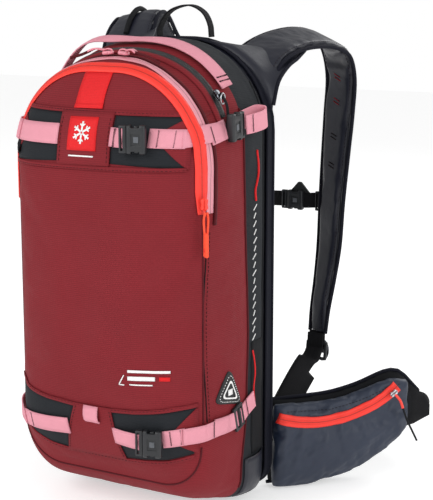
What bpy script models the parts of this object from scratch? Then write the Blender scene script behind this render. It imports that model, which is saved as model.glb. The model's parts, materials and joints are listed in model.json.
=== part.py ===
"""Avalanche airbag backpack of 18 litres: body, harness, hip belt, zips, buckles and inflation kit.

Metres, +Z up. -Y is the front of the pack (away from the wearer), +Y the wearer's side and +X the
side with the hip pocket. The origin is the middle of the flat base under the airbag band.
"""
import math

import bmesh
import bpy
from mathutils import Matrix, Vector

# Driving dimensions: the pack body is a stack of rounded outlines along its depth.
SECTIONS = (  # depth y, half width, bottom z, top z, radius of the bottom corners
    (-0.110, 0.127, 0.050, 0.524, 0.060),
    (-0.090, 0.128, 0.028, 0.527, 0.050),
    (-0.075, 0.129, 0.020, 0.529, 0.045),
    (-0.030, 0.129, 0.008, 0.545, 0.035),
    (-0.016, 0.129, 0.004, 0.548, 0.030),
    (0.040, 0.127, 0.000, 0.550, 0.030),
)
TOP_RADIUS = 0.110
TOP_STEPS = 9
BOTTOM_STEPS = 5
CLOTH = 0.0022  # wall of a fabric shell with its lining
BAND_BACK, BAND_FRONT = 0.0385, -0.014
MAIN_BACK, MAIN_FRONT = -0.0145, -0.090
POCKET_BACK, POCKET_EDGE, POCKET_FACE = -0.0925, -0.100, -0.110
EDGE_INSET = 0.007  # how far the front panel's rounded edge runs in
BULGE = 0.044  # how far the front panel's middle stands out of its edge
BULGE_POWER = 4
FRONT_MIDDLE_Z = 0.285
PANEL_BACK, PANEL_FRONT = 0.060, 0.0390
WEBBING, HIP_WEBBING, WEBBING_THICK = 0.021, 0.032, 0.0016
ZIP_WIDTH, ZIP_THICK, ZIP_GAP = 0.011, 0.0010, 0.0007
UPPER_STRAP_Z, LOWER_STRAP_Z = 0.448, 0.112
STRAP_STANDOFF = 0.0030
SKI_BUCKLE = (0.031, 0.021, 0.009)  # width, length and height of the buckles on the lashing straps
CHEST_BUCKLE = (0.026, 0.022, 0.008)
HIP_BUCKLE = (0.044, 0.040, 0.012)
SHOULDER_HINGE = (0.0, 0.070, 0.498)
SHOULDER_TWIST = 25  # degrees that the straps turn outwards to lie on the chest
SHOULDER_THICK = 0.012
WING_HINGE = (0.112, 0.070)
WING_ANGLE = math.radians(47)
WING_LENGTH, WING_THICK = 0.203, 0.014
POCKET_DEPTH = 0.024  # how far the hip pocket stands out of the wing
POCKET_ZIP_CENTRE, POCKET_ZIP_RADIUS = (0.058, 0.250), 0.165
TRIGGER_AT = (-0.1255, 0.2610, 0.408)
LOOP_HINGE = (0.0, 0.047, 0.553)


# Scene and materials

def clear_scene():
    for obj in list(bpy.data.objects):
        bpy.data.objects.remove(obj)


def new_collection(name):
    collection = bpy.data.collections.new(name)
    bpy.context.scene.collection.children.link(collection)
    return collection


def linear(channel):
    """An 8-bit sRGB channel as the linear value that the shader takes."""
    value = channel / 255
    return value / 12.92 if value <= 0.04045 else ((value + 0.055) / 1.055) ** 2.4


def material(name, rgb, roughness, metallic=0.0):
    made = bpy.data.materials.new(name)
    made.use_nodes = True
    shader = made.node_tree.nodes["Principled BSDF"]
    shader.inputs["Base Color"].default_value = (*map(linear, rgb), 1)
    shader.inputs["Roughness"].default_value = roughness
    shader.inputs["Metallic"].default_value = metallic
    return made


# Building blocks

def place(obj, look, matrix=None):
    """Puts a new object in the pack's collection with its material."""
    if obj.name not in PACK.objects:
        PACK.objects.link(obj)
    obj.data.materials.append(LOOKS[look])
    if matrix:
        obj.matrix_world = matrix
    return obj


def mesh_object(name, points, faces, look):
    data = bpy.data.meshes.new(name)
    data.from_pydata([tuple(p) for p in points], [], faces)
    return place(bpy.data.objects.new(name, data), look)


def quads_between(rows, count, closed):
    """Quads that join each row of points to the next; a closed row joins its last point to its first."""
    faces = []
    for i in range(rows - 1):
        for j in range(count if closed else count - 1):
            after = (j + 1) % count
            faces.append((i * count + j, i * count + after,
                          (i + 1) * count + after, (i + 1) * count + j))
    return faces


def thicken(obj, thickness, offset):
    solidify = obj.modifiers.new("Thickness", "SOLIDIFY")
    solidify.thickness = thickness
    solidify.offset = offset
    solidify.use_even_offset = True
    return obj


def shell(name, rings, look, capped):
    """A fabric shell through rings that run from back to front, with its wall inside them."""
    points = [p for ring in rings for p in ring]
    count = len(rings[0])
    faces = quads_between(len(rings), count, closed=True)
    if capped:
        faces.append(tuple(range(len(points) - count, len(points))))
    return thicken(mesh_object(name, points, faces, look), CLOTH, -1)


def loft(name, rings, look):
    """A solid through rings of points, closed at both ends."""
    points = [p for ring in rings for p in ring]
    count = len(rings[0])
    faces = quads_between(len(rings), count, closed=True)
    faces.append(tuple(range(len(points) - count, len(points))))
    faces.append(tuple(reversed(range(count))))
    obj = mesh_object(name, points, faces, look)
    work = bmesh.new()
    work.from_mesh(obj.data)
    bmesh.ops.recalc_face_normals(work, faces=work.faces)
    work.to_mesh(obj.data)
    work.free()
    return obj


def sheet(name, rows, thickness, look, offset=1):
    """Fabric or tape through rows of points; offset 1 puts its thickness on the outer side."""
    faces = quads_between(len(rows), len(rows[0]), closed=False)
    return thicken(mesh_object(name, [p for row in rows for p in row], faces, look), thickness, offset)


def strap(name, path, across, widths, thickness, look, twists=None):
    """Webbing or padding along a path, with its width along one direction, twisted by degrees if given."""
    path = [Vector(p) for p in path]
    widths = widths if isinstance(widths, list) else [widths] * len(path)
    twists = twists or [0] * len(path)
    rows = ([], [])
    for i, (point, width, twist) in enumerate(zip(path, widths, twists)):
        tangent = path[min(i + 1, len(path) - 1)] - path[max(i - 1, 0)]
        half = Matrix.Rotation(math.radians(twist), 3, tangent) @ Vector(across).normalized() * width / 2
        rows[0].append(point - half)
        rows[1].append(point + half)
    return sheet(name, rows, thickness, look, offset=0)


def box(name, size, matrix, look, bevel=0.0, segments=1):
    data = bpy.data.meshes.new(name)
    work = bmesh.new()
    bmesh.ops.create_cube(work, size=1, matrix=Matrix.Diagonal((*size, 1)))
    work.to_mesh(data)
    work.free()
    obj = place(bpy.data.objects.new(name, data), look, matrix)
    if bevel:
        rounding = obj.modifiers.new("Edges", "BEVEL")
        rounding.width = bevel
        rounding.segments = segments
    return obj


def plate(name, outlines, thickness, matrix, look):
    """Flat outlines in a local XY plane, filled with their holes and extruded both ways."""
    data = bpy.data.curves.new(name, "CURVE")
    data.dimensions = "2D"
    data.fill_mode = "BOTH"
    data.extrude = thickness / 2
    for outline in outlines:
        spline = data.splines.new("POLY")
        spline.points.add(len(outline) - 1)
        for point, (x, y) in zip(spline.points, outline):
            point.co = (x, y, 0, 1)
        spline.use_cyclic_u = True
    return place(bpy.data.objects.new(name, data), look, matrix)


def tube(name, points, radius, look):
    data = bpy.data.curves.new(name, "CURVE")
    data.dimensions = "3D"
    data.bevel_depth = radius
    data.bevel_resolution = 1
    data.use_fill_caps = True
    spline = data.splines.new("POLY")
    spline.points.add(len(points) - 1)
    for point, position in zip(spline.points, points):
        point.co = (*position, 1)
    return place(bpy.data.objects.new(name, data), look)


def turned(name, profile, matrix, look):
    """A solid of revolution from (radius, height) points that run from top to bottom."""
    data = bpy.data.meshes.new(name)
    points = [(radius, 0, height) for radius, height in profile]
    data.from_pydata(points, [(i, i + 1) for i in range(len(points) - 1)], [])
    obj = place(bpy.data.objects.new(name, data), look, matrix)
    screw = obj.modifiers.new("Turn", "SCREW")
    screw.steps = screw.render_steps = 20
    screw.use_merge_vertices = True
    screw.merge_threshold = 0.00005
    return obj


def cut(obj, cutter):
    """Takes a helper solid out of an object."""
    PACK.objects.unlink(cutter)
    CUTTERS.objects.link(cutter)
    cutter.hide_render = True
    cutter.display_type = "WIRE"
    boolean = obj.modifiers.new("Cut", "BOOLEAN")
    boolean.operation = "DIFFERENCE"
    boolean.object = cutter


def joint(name, point, pieces, parent=None):
    """An empty on a joint's axis that carries the pieces which move with it."""
    empty = bpy.data.objects.new(name, None)
    PACK.objects.link(empty)
    if parent:
        empty.parent = parent
        empty.matrix_parent_inverse = Matrix.Translation(-Vector(parent["axis_point"]))
    empty.location = point
    empty["axis_point"] = tuple(point)
    for piece in pieces:
        piece.parent = empty
        piece.matrix_parent_inverse = Matrix.Translation(-Vector(point))
    return empty


def axes_matrix(origin, along, across):
    """A local frame: X along, Y across, Z out of the plane."""
    x = Vector(along).normalized()
    z = x.cross(Vector(across)).normalized()
    y = z.cross(x)
    turn = Matrix((x, y, z)).transposed().to_4x4()
    return Matrix.Translation(origin) @ turn


def arc(centre, radius, start, end, steps):
    """Points of a circular arc in a plane, with angles in degrees."""
    angles = [math.radians(start + (end - start) * i / steps) for i in range(steps + 1)]
    return [(centre[0] + radius * math.cos(a), centre[1] + radius * math.sin(a)) for a in angles]


def blend_values(x, table):
    """Linear interpolation in a table of (x, value) pairs."""
    for (x0, v0), (x1, v1) in zip(table, table[1:]):
        if x <= x1:
            break
    share = min(max((x - x0) / (x1 - x0), 0), 1)
    return v0 + (v1 - v0) * share


# The body's outlines

def section(y):
    """Half width, bottom, top and bottom corner radius of the body at a depth."""
    return tuple(blend_values(y, [(s[0], s[k]) for s in SECTIONS]) for k in (1, 2, 3, 4))


def outline(half_width, bottom, top, bottom_radius, inset=0.0, top_radius=TOP_RADIUS):
    """A rounded outline in x and z, seen from the front and running anticlockwise."""
    low_x, high_x = half_width - bottom_radius, half_width - top_radius
    low_z, high_z = bottom + bottom_radius, top - top_radius
    low_r, high_r = bottom_radius - inset, top_radius - inset
    return (arc((low_x, low_z), low_r, -90, 0, BOTTOM_STEPS) + arc((high_x, high_z), high_r, 0, 90, TOP_STEPS)
            + arc((-high_x, high_z), high_r, 90, 180, TOP_STEPS)
            + arc((-low_x, low_z), low_r, 180, 270, BOTTOM_STEPS))


def body_ring(y, inset=0.0, bottom=None):
    half_width, low, top, corner = section(y)
    low = low if bottom is None else bottom
    return [(x, y, z) for x, z in outline(half_width, low, top, corner, inset)]


def arch_row(y, lift, start, end, z_right=None, z_left=None):
    """Points over the body's arch at one depth, from an angle on the right to one on the left.

    Angles under 90 lie on the right corner and over 90 on the left one. The row can go on straight
    down either side to z_right and z_left.
    """
    half_width, _, top, _ = section(y)
    centre_x, centre_z = half_width - TOP_RADIUS, top - TOP_RADIUS
    row = []
    if z_right is not None:
        row.append((half_width + lift, z_right))
    if start < 90:
        steps = max(1, round((min(end, 90) - start) / 10))
        row += arc((centre_x, centre_z), TOP_RADIUS + lift, start, min(end, 90), steps)
    if end > 90:
        steps = max(1, round((end - max(start, 90)) / 10))
        row += arc((-centre_x, centre_z), TOP_RADIUS + lift, max(start, 90), end, steps)
    if z_left is not None:
        row.append((-half_width - lift, z_left))
    return [(x, y, z) for x, z in row]


def side_x(y, z):
    """Half width of the body at a depth and a height."""
    half_width, low, top, corner = section(y)
    above = z - (top - TOP_RADIUS)
    below = (low + corner) - z
    if above > 0:
        return half_width - TOP_RADIUS + math.sqrt(TOP_RADIUS ** 2 - above ** 2)
    if below > 0:
        return half_width - corner + math.sqrt(corner ** 2 - below ** 2)
    return half_width


def front_ring(share):
    """A ring of the front panel, shrunk towards its middle and pushed out by the bulge."""
    half_width, low, top, corner = section(POCKET_FACE)
    y = POCKET_FACE - BULGE * (1 - share ** BULGE_POWER)
    ring = outline(half_width, low, top, corner, EDGE_INSET)
    return [(x * share, y, FRONT_MIDDLE_Z + (z - FRONT_MIDDLE_Z) * share) for x, z in ring]


def front_y(x, z):
    """Depth of the front panel at a place on it, found by halving the share of the outline it lies on."""
    half_width, low, top, corner = section(POCKET_FACE)
    low_share, high_share = 0.0, 1.3
    for _ in range(24):
        share = (low_share + high_share) / 2
        px, pz = abs(x) / share, FRONT_MIDDLE_Z + (z - FRONT_MIDDLE_Z) / share
        radius, corner_z = (TOP_RADIUS, top - TOP_RADIUS) if pz > FRONT_MIDDLE_Z else (
            corner, low + corner)
        over_x = max(px - (half_width - radius), 0)
        over_z = max((pz - corner_z) * (1 if pz > FRONT_MIDDLE_Z else -1), 0)
        if math.hypot(over_x, over_z) > radius - EDGE_INSET:
            low_share = share
        else:
            high_share = share
    return POCKET_FACE - BULGE * (1 - min(high_share, 1) ** BULGE_POWER)


# Pack body

def make_body():
    shell("airbag_band", [body_ring(BAND_BACK, bottom=0), body_ring(BAND_FRONT, bottom=0)], "black", False)
    main_rings = [body_ring(y) for y in (MAIN_BACK, -0.030, -0.075, MAIN_FRONT + 0.001)]
    main_rings.append(body_ring(MAIN_FRONT, 0.004))
    shell("main_compartment", main_rings, "burgundy", True)
    front_rings = [body_ring(POCKET_BACK), body_ring(POCKET_EDGE), body_ring(POCKET_FACE, EDGE_INSET)]
    front_rings += [front_ring(share) for share in (0.93, 0.82, 0.66, 0.46, 0.24, 0.06)]
    shell("front_pocket", front_rings, "burgundy", True)
    panel = outline(0.126, 0.004, 0.548, 0.035, top_radius=0.105)
    middle = (PANEL_BACK + PANEL_FRONT) / 2
    facing = axes_matrix((0, middle, 0), (1, 0, 0), (0, 0, 1))
    plate("back_panel", [panel], PANEL_BACK - PANEL_FRONT, facing, "navy")
    stiffener = outline(0.095, 0.035, 0.500, 0.040, top_radius=0.080)
    facing_sheet = axes_matrix((0, 0.0355, 0), (1, 0, 0), (0, 0, 1))
    plate("frame_sheet", [stiffener], 0.0020, facing_sheet, "sheet")
    box("lumbar_pad", (0.170, 0.012, 0.100), Matrix.Translation((0, PANEL_BACK + 0.0064, 0.060)),
        "navy", 0.004, 2)
    yoke = [(-0.100, 0.420), (0.100, 0.420), (0.118, 0.484), (0.060, 0.490), (-0.060, 0.490), (-0.118, 0.484)]
    facing_yoke = axes_matrix((0, PANEL_BACK + 0.0028, 0), (1, 0, 0), (0, 0, 1))
    plate("yoke_panel", [yoke], 0.0048, facing_yoke, "navy")


def make_flap_and_straps():
    """The middle flap with its patch, and the ski straps over the front panel."""
    def face_row(xs, z, lift):
        return [(x, front_y(x, z) - lift, z) for x in xs]

    flap_xs = [-0.037 + 0.01233 * i for i in range(7)]
    flap_zs = [0.420 + 0.0115 * i for i in range(5)]
    sheet("center_flap", [face_row(flap_xs, z, 0.0012) for z in flap_zs], 0.0012, "red")

    def front_strap(name, x_from, x_to, z):
        steps = max(3, round(abs(x_to - x_from) / 0.014))
        xs = [x_from + (x_to - x_from) * i / steps for i in range(steps + 1)]
        half = WEBBING / 2
        rows = [face_row(xs, height, STRAP_STANDOFF) for height in (z - half, z + half)]
        sheet(name, rows, WEBBING_THICK, "pink_webbing")

    front_strap("front_strap_upper_left", -0.113, -0.041, UPPER_STRAP_Z)
    front_strap("front_strap_upper_right", 0.081, 0.113, UPPER_STRAP_Z)
    front_strap("front_strap_lower_left", -0.110, -0.045, LOWER_STRAP_Z)
    front_strap("front_strap_lower_right", 0.097, 0.112, LOWER_STRAP_Z)


def side_strap(name, side, y_from, y_to, z_from, z_to, lift=0.0034):
    """Webbing on a side of the body, from the front edge backwards."""
    steps = 5
    rows = ([], [])
    for i in range(steps + 1):
        y = y_from + (y_to - y_from) * i / steps
        z = z_from + (z_to - z_from) * i / steps
        for row, height in zip(rows, (z - WEBBING / 2, z + WEBBING / 2)):
            row.append((side * (side_x(y, height) + lift), y, height))
    return sheet(name, rows[::-side], WEBBING_THICK, "pink_webbing", offset=-1)


# Buckles

def buckle_outline(width, tongue, body):
    """Plan of a male buckle half: tongue along +X from the origin, body behind it."""
    half, narrow = width / 2, width * 0.36
    return [(-body, -half * 0.9), (-0.0008, -half), (-0.0008, -narrow), (tongue, -narrow * 0.8),
            (tongue, narrow * 0.8), (-0.0008, narrow), (-0.0008, half), (-body, half * 0.9)]


def buckle_female(name, matrix, width, length, height):
    """Housing whose mouth is at the origin and which runs along +X."""
    middle = matrix @ Matrix.Translation((length / 2, 0, 0))
    housing = box(name, (length, width, height), middle, "plastic", height * 0.2)
    mouth = (length * 0.8 * 2, width * 0.72 + 0.0012, height * 0.42 + 0.0010)
    cut(housing, box(name + "_mouth", mouth, matrix, "plastic"))
    return housing


def buckle_male(name, matrix, width, length, height):
    return plate(name, [buckle_outline(width, length * 0.72, length * 0.42)], height * 0.42, matrix, "plastic")


def rectangle(x0, x1, y0, y1):
    return [(x0, y0), (x1, y0), (x1, y1), (x0, y1)]


def ladder_lock(name, matrix, width, length, height):
    """A flat adjuster with a middle bar between two slots."""
    slots = [rectangle(a * length, b * length, -width * 0.38, width * 0.38)
             for a, b in ((-0.34, -0.10), (0.10, 0.34))]
    frame = rectangle(-length / 2, length / 2, -width / 2, width / 2)
    return plate(name, [frame, *slots], height, matrix, "plastic")


def make_ski_buckles():
    """Buckles of the front straps and of the upper side strap; their male halves pull out."""
    for name, z, x in (("front_buckle_upper", UPPER_STRAP_Z, 0.0575), ("front_buckle_lower", LOWER_STRAP_Z, 0.073)):
        lift = 0.0102
        here = Vector((x, front_y(x, z) - lift, z))
        ahead = Vector((x + 0.026, front_y(x + 0.026, z) - lift, z))
        seat = axes_matrix(here, ahead - here, (0, 0, 1))
        buckle_female(name + "_female", seat, *SKI_BUCKLE)
        male = buckle_male(name + "_male", seat, *SKI_BUCKLE)
        joint(name + "_joint", here, [male])
    x_side = side_x(-0.050, 0.457) + 0.0085
    here = Vector((x_side, -0.040, 0.457))
    seat = axes_matrix(here, (0, -1, -0.08), (0, 0.08, -1))
    buckle_female("side_buckle_female", seat, *SKI_BUCKLE)
    male = buckle_male("side_buckle_male", seat, *SKI_BUCKLE)
    joint("side_buckle_joint", here, [male])
    side_strap("side_strap_upper_right", 1, -0.098, -0.075, 0.449, 0.450)
    side_strap("side_strap_upper_left", -1, -0.098, -0.030, 0.449, 0.458)
    side_strap("side_strap_lower_right", 1, -0.098, -0.056, 0.121, 0.120)
    side_strap("side_strap_lower_left", -1, -0.098, -0.030, 0.121, 0.124)
    lock_at = (side_x(-0.040, 0.122) + 0.0045, -0.040, 0.122)
    ladder_lock("side_ladder_lock", axes_matrix(lock_at, (0, 1, 0.3), (0, -0.3, 1)), 0.030, 0.020, 0.004)


# Zips

def zip_slider(name, matrix, look, size=(0.014, 0.009, 0.004)):
    return box(name, size, matrix, look, 0.0010)


def arch_seat(y, angle, lift):
    """Where a slider sits on the arch: local X runs along the zip and Z out of it."""
    x, _, z = arch_row(y, lift, angle, angle + 1)[0]
    turn = math.radians(angle)
    return axes_matrix((x, y, z), (-math.sin(turn), 0, math.cos(turn)), (0, 1, 0))


def arch_axis(y, side):
    half_width, _, top, _ = section(y)
    return (side * (half_width - TOP_RADIUS), y, top - TOP_RADIUS)


def make_zips():
    run_out, run_in = 0.82, 0.57  # outward and forward shares of the chamfer's normal
    lift = 0.0010
    rows = []
    for y, inset in ((POCKET_EDGE, 0.0), (POCKET_FACE, EDGE_INSET)):
        rows.append([(x, yy - lift * run_in, z) for x, yy, z in
                     arch_row(y, lift * run_out - inset, 0, 180, z_right=0.366, z_left=0.366)])
    sheet("front_zip", rows, ZIP_THICK, "red_zip")
    middle_y = (POCKET_EDGE + POCKET_FACE) / 2
    seat_x = section(middle_y)[0] - EDGE_INSET / 2 + 0.0042
    here = Vector((seat_x, middle_y - 0.0028, 0.378))
    seat = axes_matrix(here, (0, 0, 1), (-EDGE_INSET, POCKET_FACE - POCKET_EDGE, 0))
    slider = zip_slider("front_zip_slider", seat, "red_zip")
    out = seat.to_3x3() @ Vector((0, 0, 1))
    pivot = here + out * 0.0052 - Vector((0, 0, 0.006))
    pull_top = pivot - Vector((0, 0, 0.002))
    pull = strap("front_zip_pull", [pull_top, pull_top - Vector((0, 0, 0.020)), pull_top - Vector((0, 0, 0.050))],
                 seat.to_3x3() @ Vector((0, 1, 0)), [0.005, 0.006, 0.009], 0.003, "orange")
    slide = joint("front_zip_joint", here, [slider])
    joint("front_pull_joint", pivot, [pull], parent=slide)

    main_y = -0.083
    half = ZIP_WIDTH / 2
    rows = [arch_row(y, ZIP_GAP, 0, 180, 0.366, 0.366) for y in (main_y + half, main_y - half)]
    sheet("main_zip", rows, ZIP_THICK, "pink_zip")
    for side, name in ((1, "right"), (-1, "left")):
        seat = axes_matrix((side * 0.0105, main_y, section(main_y)[2] + 0.0062), (-1, 0, 0), (0, 1, 0))
        slider = zip_slider("main_zip_slider_" + name, seat, "pink_zip")
        joint("main_zip_joint_" + name, arch_axis(main_y, side), [slider])
    top_y = -0.054
    rows = [arch_row(y, ZIP_GAP, 27, 150) for y in (top_y + 0.004, top_y - 0.004)]
    sheet("top_zip", rows, ZIP_THICK, "black_zip")
    slider = zip_slider("top_zip_slider", arch_seat(top_y, 34, 0.0052), "steel")
    joint("top_zip_joint", arch_axis(top_y, 1), [slider])
    rows = [arch_row(y, 0.0060, 30, 146) for y in (-0.021, -0.039)]
    sheet("top_strap", rows, WEBBING_THICK, "pink_webbing")


# Harness

def make_shoulder_straps():
    """Padded straps that arch over the shoulders and swing about the yoke's top edge."""
    lower = (  # x, y, z and width of a strap's middle line, and the share of its twist
        (0.118, 0.235, 0.335, 0.050, 1.0),
        (0.118, 0.229, 0.278, 0.047, 1.0),
        (0.117, 0.220, 0.235, 0.042, 1.0),
        (0.115, 0.211, 0.195, 0.036, 0.9),
        (0.114, 0.207, 0.165, 0.032, 0.8),
    )
    right_arch = (
        (0.084, 0.0715, 0.500, 0.074, 0.0),
        (0.087, 0.084, 0.520, 0.072, 0.1),
        (0.093, 0.112, 0.535, 0.070, 0.3),
        (0.102, 0.152, 0.5435, 0.066, 0.6),
        (0.112, 0.197, 0.5435, 0.062, 0.9),
        (0.119, 0.233, 0.529, 0.060, 1.0),
        (0.121, 0.250, 0.494, 0.058, 1.0),
        (0.119, 0.250, 0.445, 0.058, 1.0),
        (0.118, 0.245, 0.400, 0.055, 1.0),
    )
    left_arch = (  # stands higher over its root and falls sooner
        (0.088, 0.0715, 0.500, 0.074, 0.0),
        (0.096, 0.084, 0.530, 0.075, 0.1),
        (0.102, 0.104, 0.556, 0.073, 0.2),
        (0.105, 0.126, 0.570, 0.067, 0.3),
        (0.110, 0.152, 0.564, 0.063, 0.6),
        (0.115, 0.186, 0.536, 0.060, 0.8),
        (0.119, 0.225, 0.508, 0.060, 1.0),
        (0.119, 0.247, 0.470, 0.058, 1.0),
        (0.118, 0.249, 0.430, 0.056, 1.0),
        (0.118, 0.243, 0.385, 0.054, 1.0),
    )
    for side, name, arch in ((1, "right", right_arch), (-1, "left", left_arch)):
        profile = arch + lower
        path = [(side * p[0], p[1], p[2]) for p in profile]
        twist = [side * SHOULDER_TWIST * p[4] for p in profile]
        padding = strap("shoulder_strap_" + name, path, (1, 0, 0), [p[3] for p in profile], SHOULDER_THICK,
                        "navy", twist)
        root = Vector((side * 0.114, 0.207, 0.157))
        lock = ladder_lock("ladder_lock_" + name, axes_matrix(root - Vector((0, 0.003, 0.016)), (0, -0.2, -1),
                                                              (1, 0, 0)), 0.030, 0.024, 0.004)
        swing = joint("shoulder_joint_" + name, SHOULDER_HINGE, [padding])
        joint("ladder_lock_joint_" + name, root, [lock], parent=swing)
        if side > 0:
            make_sternum_strap(swing)
        else:
            joint("trigger_joint", TRIGGER_AT, [make_trigger_handle()], parent=swing)
        webbing = [(side * 0.099, 0.0680, 0.150), (side * 0.100, 0.078, 0.132), (side * 0.102, 0.098, 0.124),
                   (side * 0.104, 0.124, 0.128)]
        strap("lower_webbing_" + name, webbing, (1, 0, 0), WEBBING, WEBBING_THICK, "black_webbing")


def make_sternum_strap(swing):
    """Chest strap in two halves with its buckle, which slides up and down the shoulder straps."""
    y, z = 0.2550, 0.329
    right = [(0.072, y, z), (0.088, y, z), (0.104, y, z)]
    left = [(-0.104, y, z), (-0.060, y, z), (0.038, y, z)]
    bands = [strap("sternum_strap_right", right, (0, 0, 1), WEBBING, WEBBING_THICK, "black_webbing"),
             strap("sternum_strap_left", left, (0, 0, 1), WEBBING, WEBBING_THICK, "black_webbing")]
    mouth = Vector((0.048, y - 0.0062, z))
    seat = axes_matrix(mouth, (1, 0, 0), (0, 0, 1))
    female = buckle_female("sternum_buckle_female", seat, *CHEST_BUCKLE)
    male = buckle_male("sternum_buckle_male", seat, *CHEST_BUCKLE)
    slide = joint("sternum_joint", (0, y, z), [*bands, female], parent=swing)
    joint("sternum_buckle_joint", mouth, [male], parent=slide)


def make_trigger_handle():
    """Pull handle on the left strap that fires the airbag."""
    turn = math.radians(SHOULDER_TWIST)
    seat = axes_matrix(TRIGGER_AT, (0, -0.126, -0.992), (math.cos(turn), math.sin(turn), 0))
    return box("trigger_handle", (0.092, 0.026, 0.014), seat, "trigger", 0.005, 2)


def wing_point(side, along, out, z):
    """A place on a hip wing: distance from its hinge, outwards from its middle plane, and height."""
    c, s = math.cos(WING_ANGLE), math.sin(WING_ANGLE)
    return (side * (WING_HINGE[0] + c * along + s * out), WING_HINGE[1] + s * along - c * out, z)


WING_BOTTOM = ((0.0, 0.003), (0.065, 0.003), (0.108, 0.009), (0.144, 0.026), (0.174, 0.044), (0.203, 0.074))
WING_TOP = ((0.0, 0.110), (0.080, 0.112), (0.122, 0.121), (0.150, 0.133), (0.172, 0.138), (0.188, 0.130),
            (0.203, 0.106))
POCKET_LOW = ((0.008, 0.005), (0.058, 0.004), (0.100, 0.013), (0.136, 0.031), (0.165, 0.050), (0.180, 0.070))
POCKET_HIGH = ((0.008, 0.110), (0.074, 0.108), (0.112, 0.116), (0.148, 0.130), (0.168, 0.133), (0.180, 0.122))


def wing_ring(side, along, out_low, out_high, z_low, z_high, round_by):
    """One rounded section across a wing or its pocket."""
    corners = []
    for out, z, so, sz in ((out_low, z_low, 1, 1), (out_high, z_low, -1, 1),
                           (out_high, z_high, -1, -1), (out_low, z_high, 1, -1)):
        first = (out, z + sz * round_by)
        second = (out + so * round_by, z)
        corners += [first, second] if so * sz > 0 else [second, first]
    return [wing_point(side, along, out, z) for out, z in corners]


def make_hip_belt():
    joints = {}
    for side, name in ((1, "right"), (-1, "left")):
        rings = []
        for along in (0.0, 0.030, 0.065, 0.108, 0.144, 0.170, 0.188, WING_LENGTH):
            half = WING_THICK / 2 * (1 if along < 0.18 else 0.8)
            rings.append(wing_ring(side, along, -half, half, blend_values(along, WING_BOTTOM),
                                   blend_values(along, WING_TOP), 0.004))
        wing = loft("hip_wing_" + name, rings, "black")
        path = [wing_point(side, WING_LENGTH + 0.001, 0, 0.087)]
        for x, y, z in ((0.2555, 0.229, 0.084), (0.2560, 0.241, 0.080), (0.2510, 0.254, 0.076),
                        (0.2390, 0.266, 0.070), (0.2180, 0.279, 0.061), (0.1870, 0.289, 0.050)):
            path.append((side * x, y, z))
        band = strap("hip_webbing_" + name, path, (0, 0, 1), HIP_WEBBING, 0.0020, "black_webbing")
        seat = axes_matrix((side * 0.150, 0.2950, 0.042), (-side, 0, 0), (0, 0, 1))
        if side > 0:
            clasp = buckle_male("hip_buckle_male", seat, *HIP_BUCKLE)
        else:
            back = axes_matrix((-0.145, 0.2950, 0.042), (-1, 0, 0), (0, 0, 1))
            clasp = buckle_female("hip_buckle_female", back, *HIP_BUCKLE)
        joints[side] = joint("hip_joint_" + name, (side * WING_HINGE[0], WING_HINGE[1], 0.045), [wing, band, clasp])
    rings = []
    near = WING_THICK / 2 + 0.0008
    for along, depth in ((0.008, 0.012), (0.016, POCKET_DEPTH), (0.060, POCKET_DEPTH), (0.100, POCKET_DEPTH),
                         (0.136, POCKET_DEPTH), (0.168, POCKET_DEPTH), (0.180, 0.012)):
        low, high = blend_values(along, POCKET_LOW), blend_values(along, POCKET_HIGH)
        rings.append(wing_ring(1, along, near, near + depth, low, high, 0.006 if depth > 0.02 else 0.003))
    pocket = loft("hip_pocket", rings, "slate")
    face = near + POCKET_DEPTH
    rows = []
    for radius in (POCKET_ZIP_RADIUS + ZIP_WIDTH / 2, POCKET_ZIP_RADIUS - ZIP_WIDTH / 2):
        line = arc(POCKET_ZIP_CENTRE, radius, 256, 308, 8)
        rows.append([wing_point(1, along, face + ZIP_GAP, z) for along, z in line])
    tape = sheet("hip_pocket_zip", rows, ZIP_THICK, "red_zip")
    end = arc(POCKET_ZIP_CENTRE, POCKET_ZIP_RADIUS, 305, 308, 1)[0]
    spot = wing_point(1, end[0], face + 0.0045, end[1])
    along_dir = Vector(wing_point(1, 1, 0, 0)) - Vector(wing_point(1, 0, 0, 0))
    tilt = math.radians(305 + 90)
    seat = axes_matrix(spot, along_dir * math.cos(tilt) + Vector((0, 0, math.sin(tilt))),
                       along_dir * -math.sin(tilt) + Vector((0, 0, math.cos(tilt))))
    slider = zip_slider("hip_zip_slider", seat, "red_zip")
    for piece in (pocket, tape):
        piece.parent = joints[1]
        piece.matrix_parent_inverse = Matrix.Translation(-Vector(joints[1]["axis_point"]))
    centre = wing_point(1, POCKET_ZIP_CENTRE[0], face, POCKET_ZIP_CENTRE[1])
    joint("hip_zip_joint", centre, [slider], parent=joints[1])


def make_grab_loop():
    y, base = LOOP_HINGE[1], LOOP_HINGE[2]
    path = [(-0.024, y, base), (-0.020, y, base + 0.013), (-0.002, y, base + 0.028), (0.020, y, base + 0.033),
            (0.038, y, base + 0.024), (0.046, y, base + 0.010), (0.047, y, base)]
    loop = strap("grab_loop", path, (0, 1, 0), 0.010, 0.0020, "black_webbing")
    joint("grab_loop_joint", LOOP_HINGE, [loop])


# Inflation kit

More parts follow.
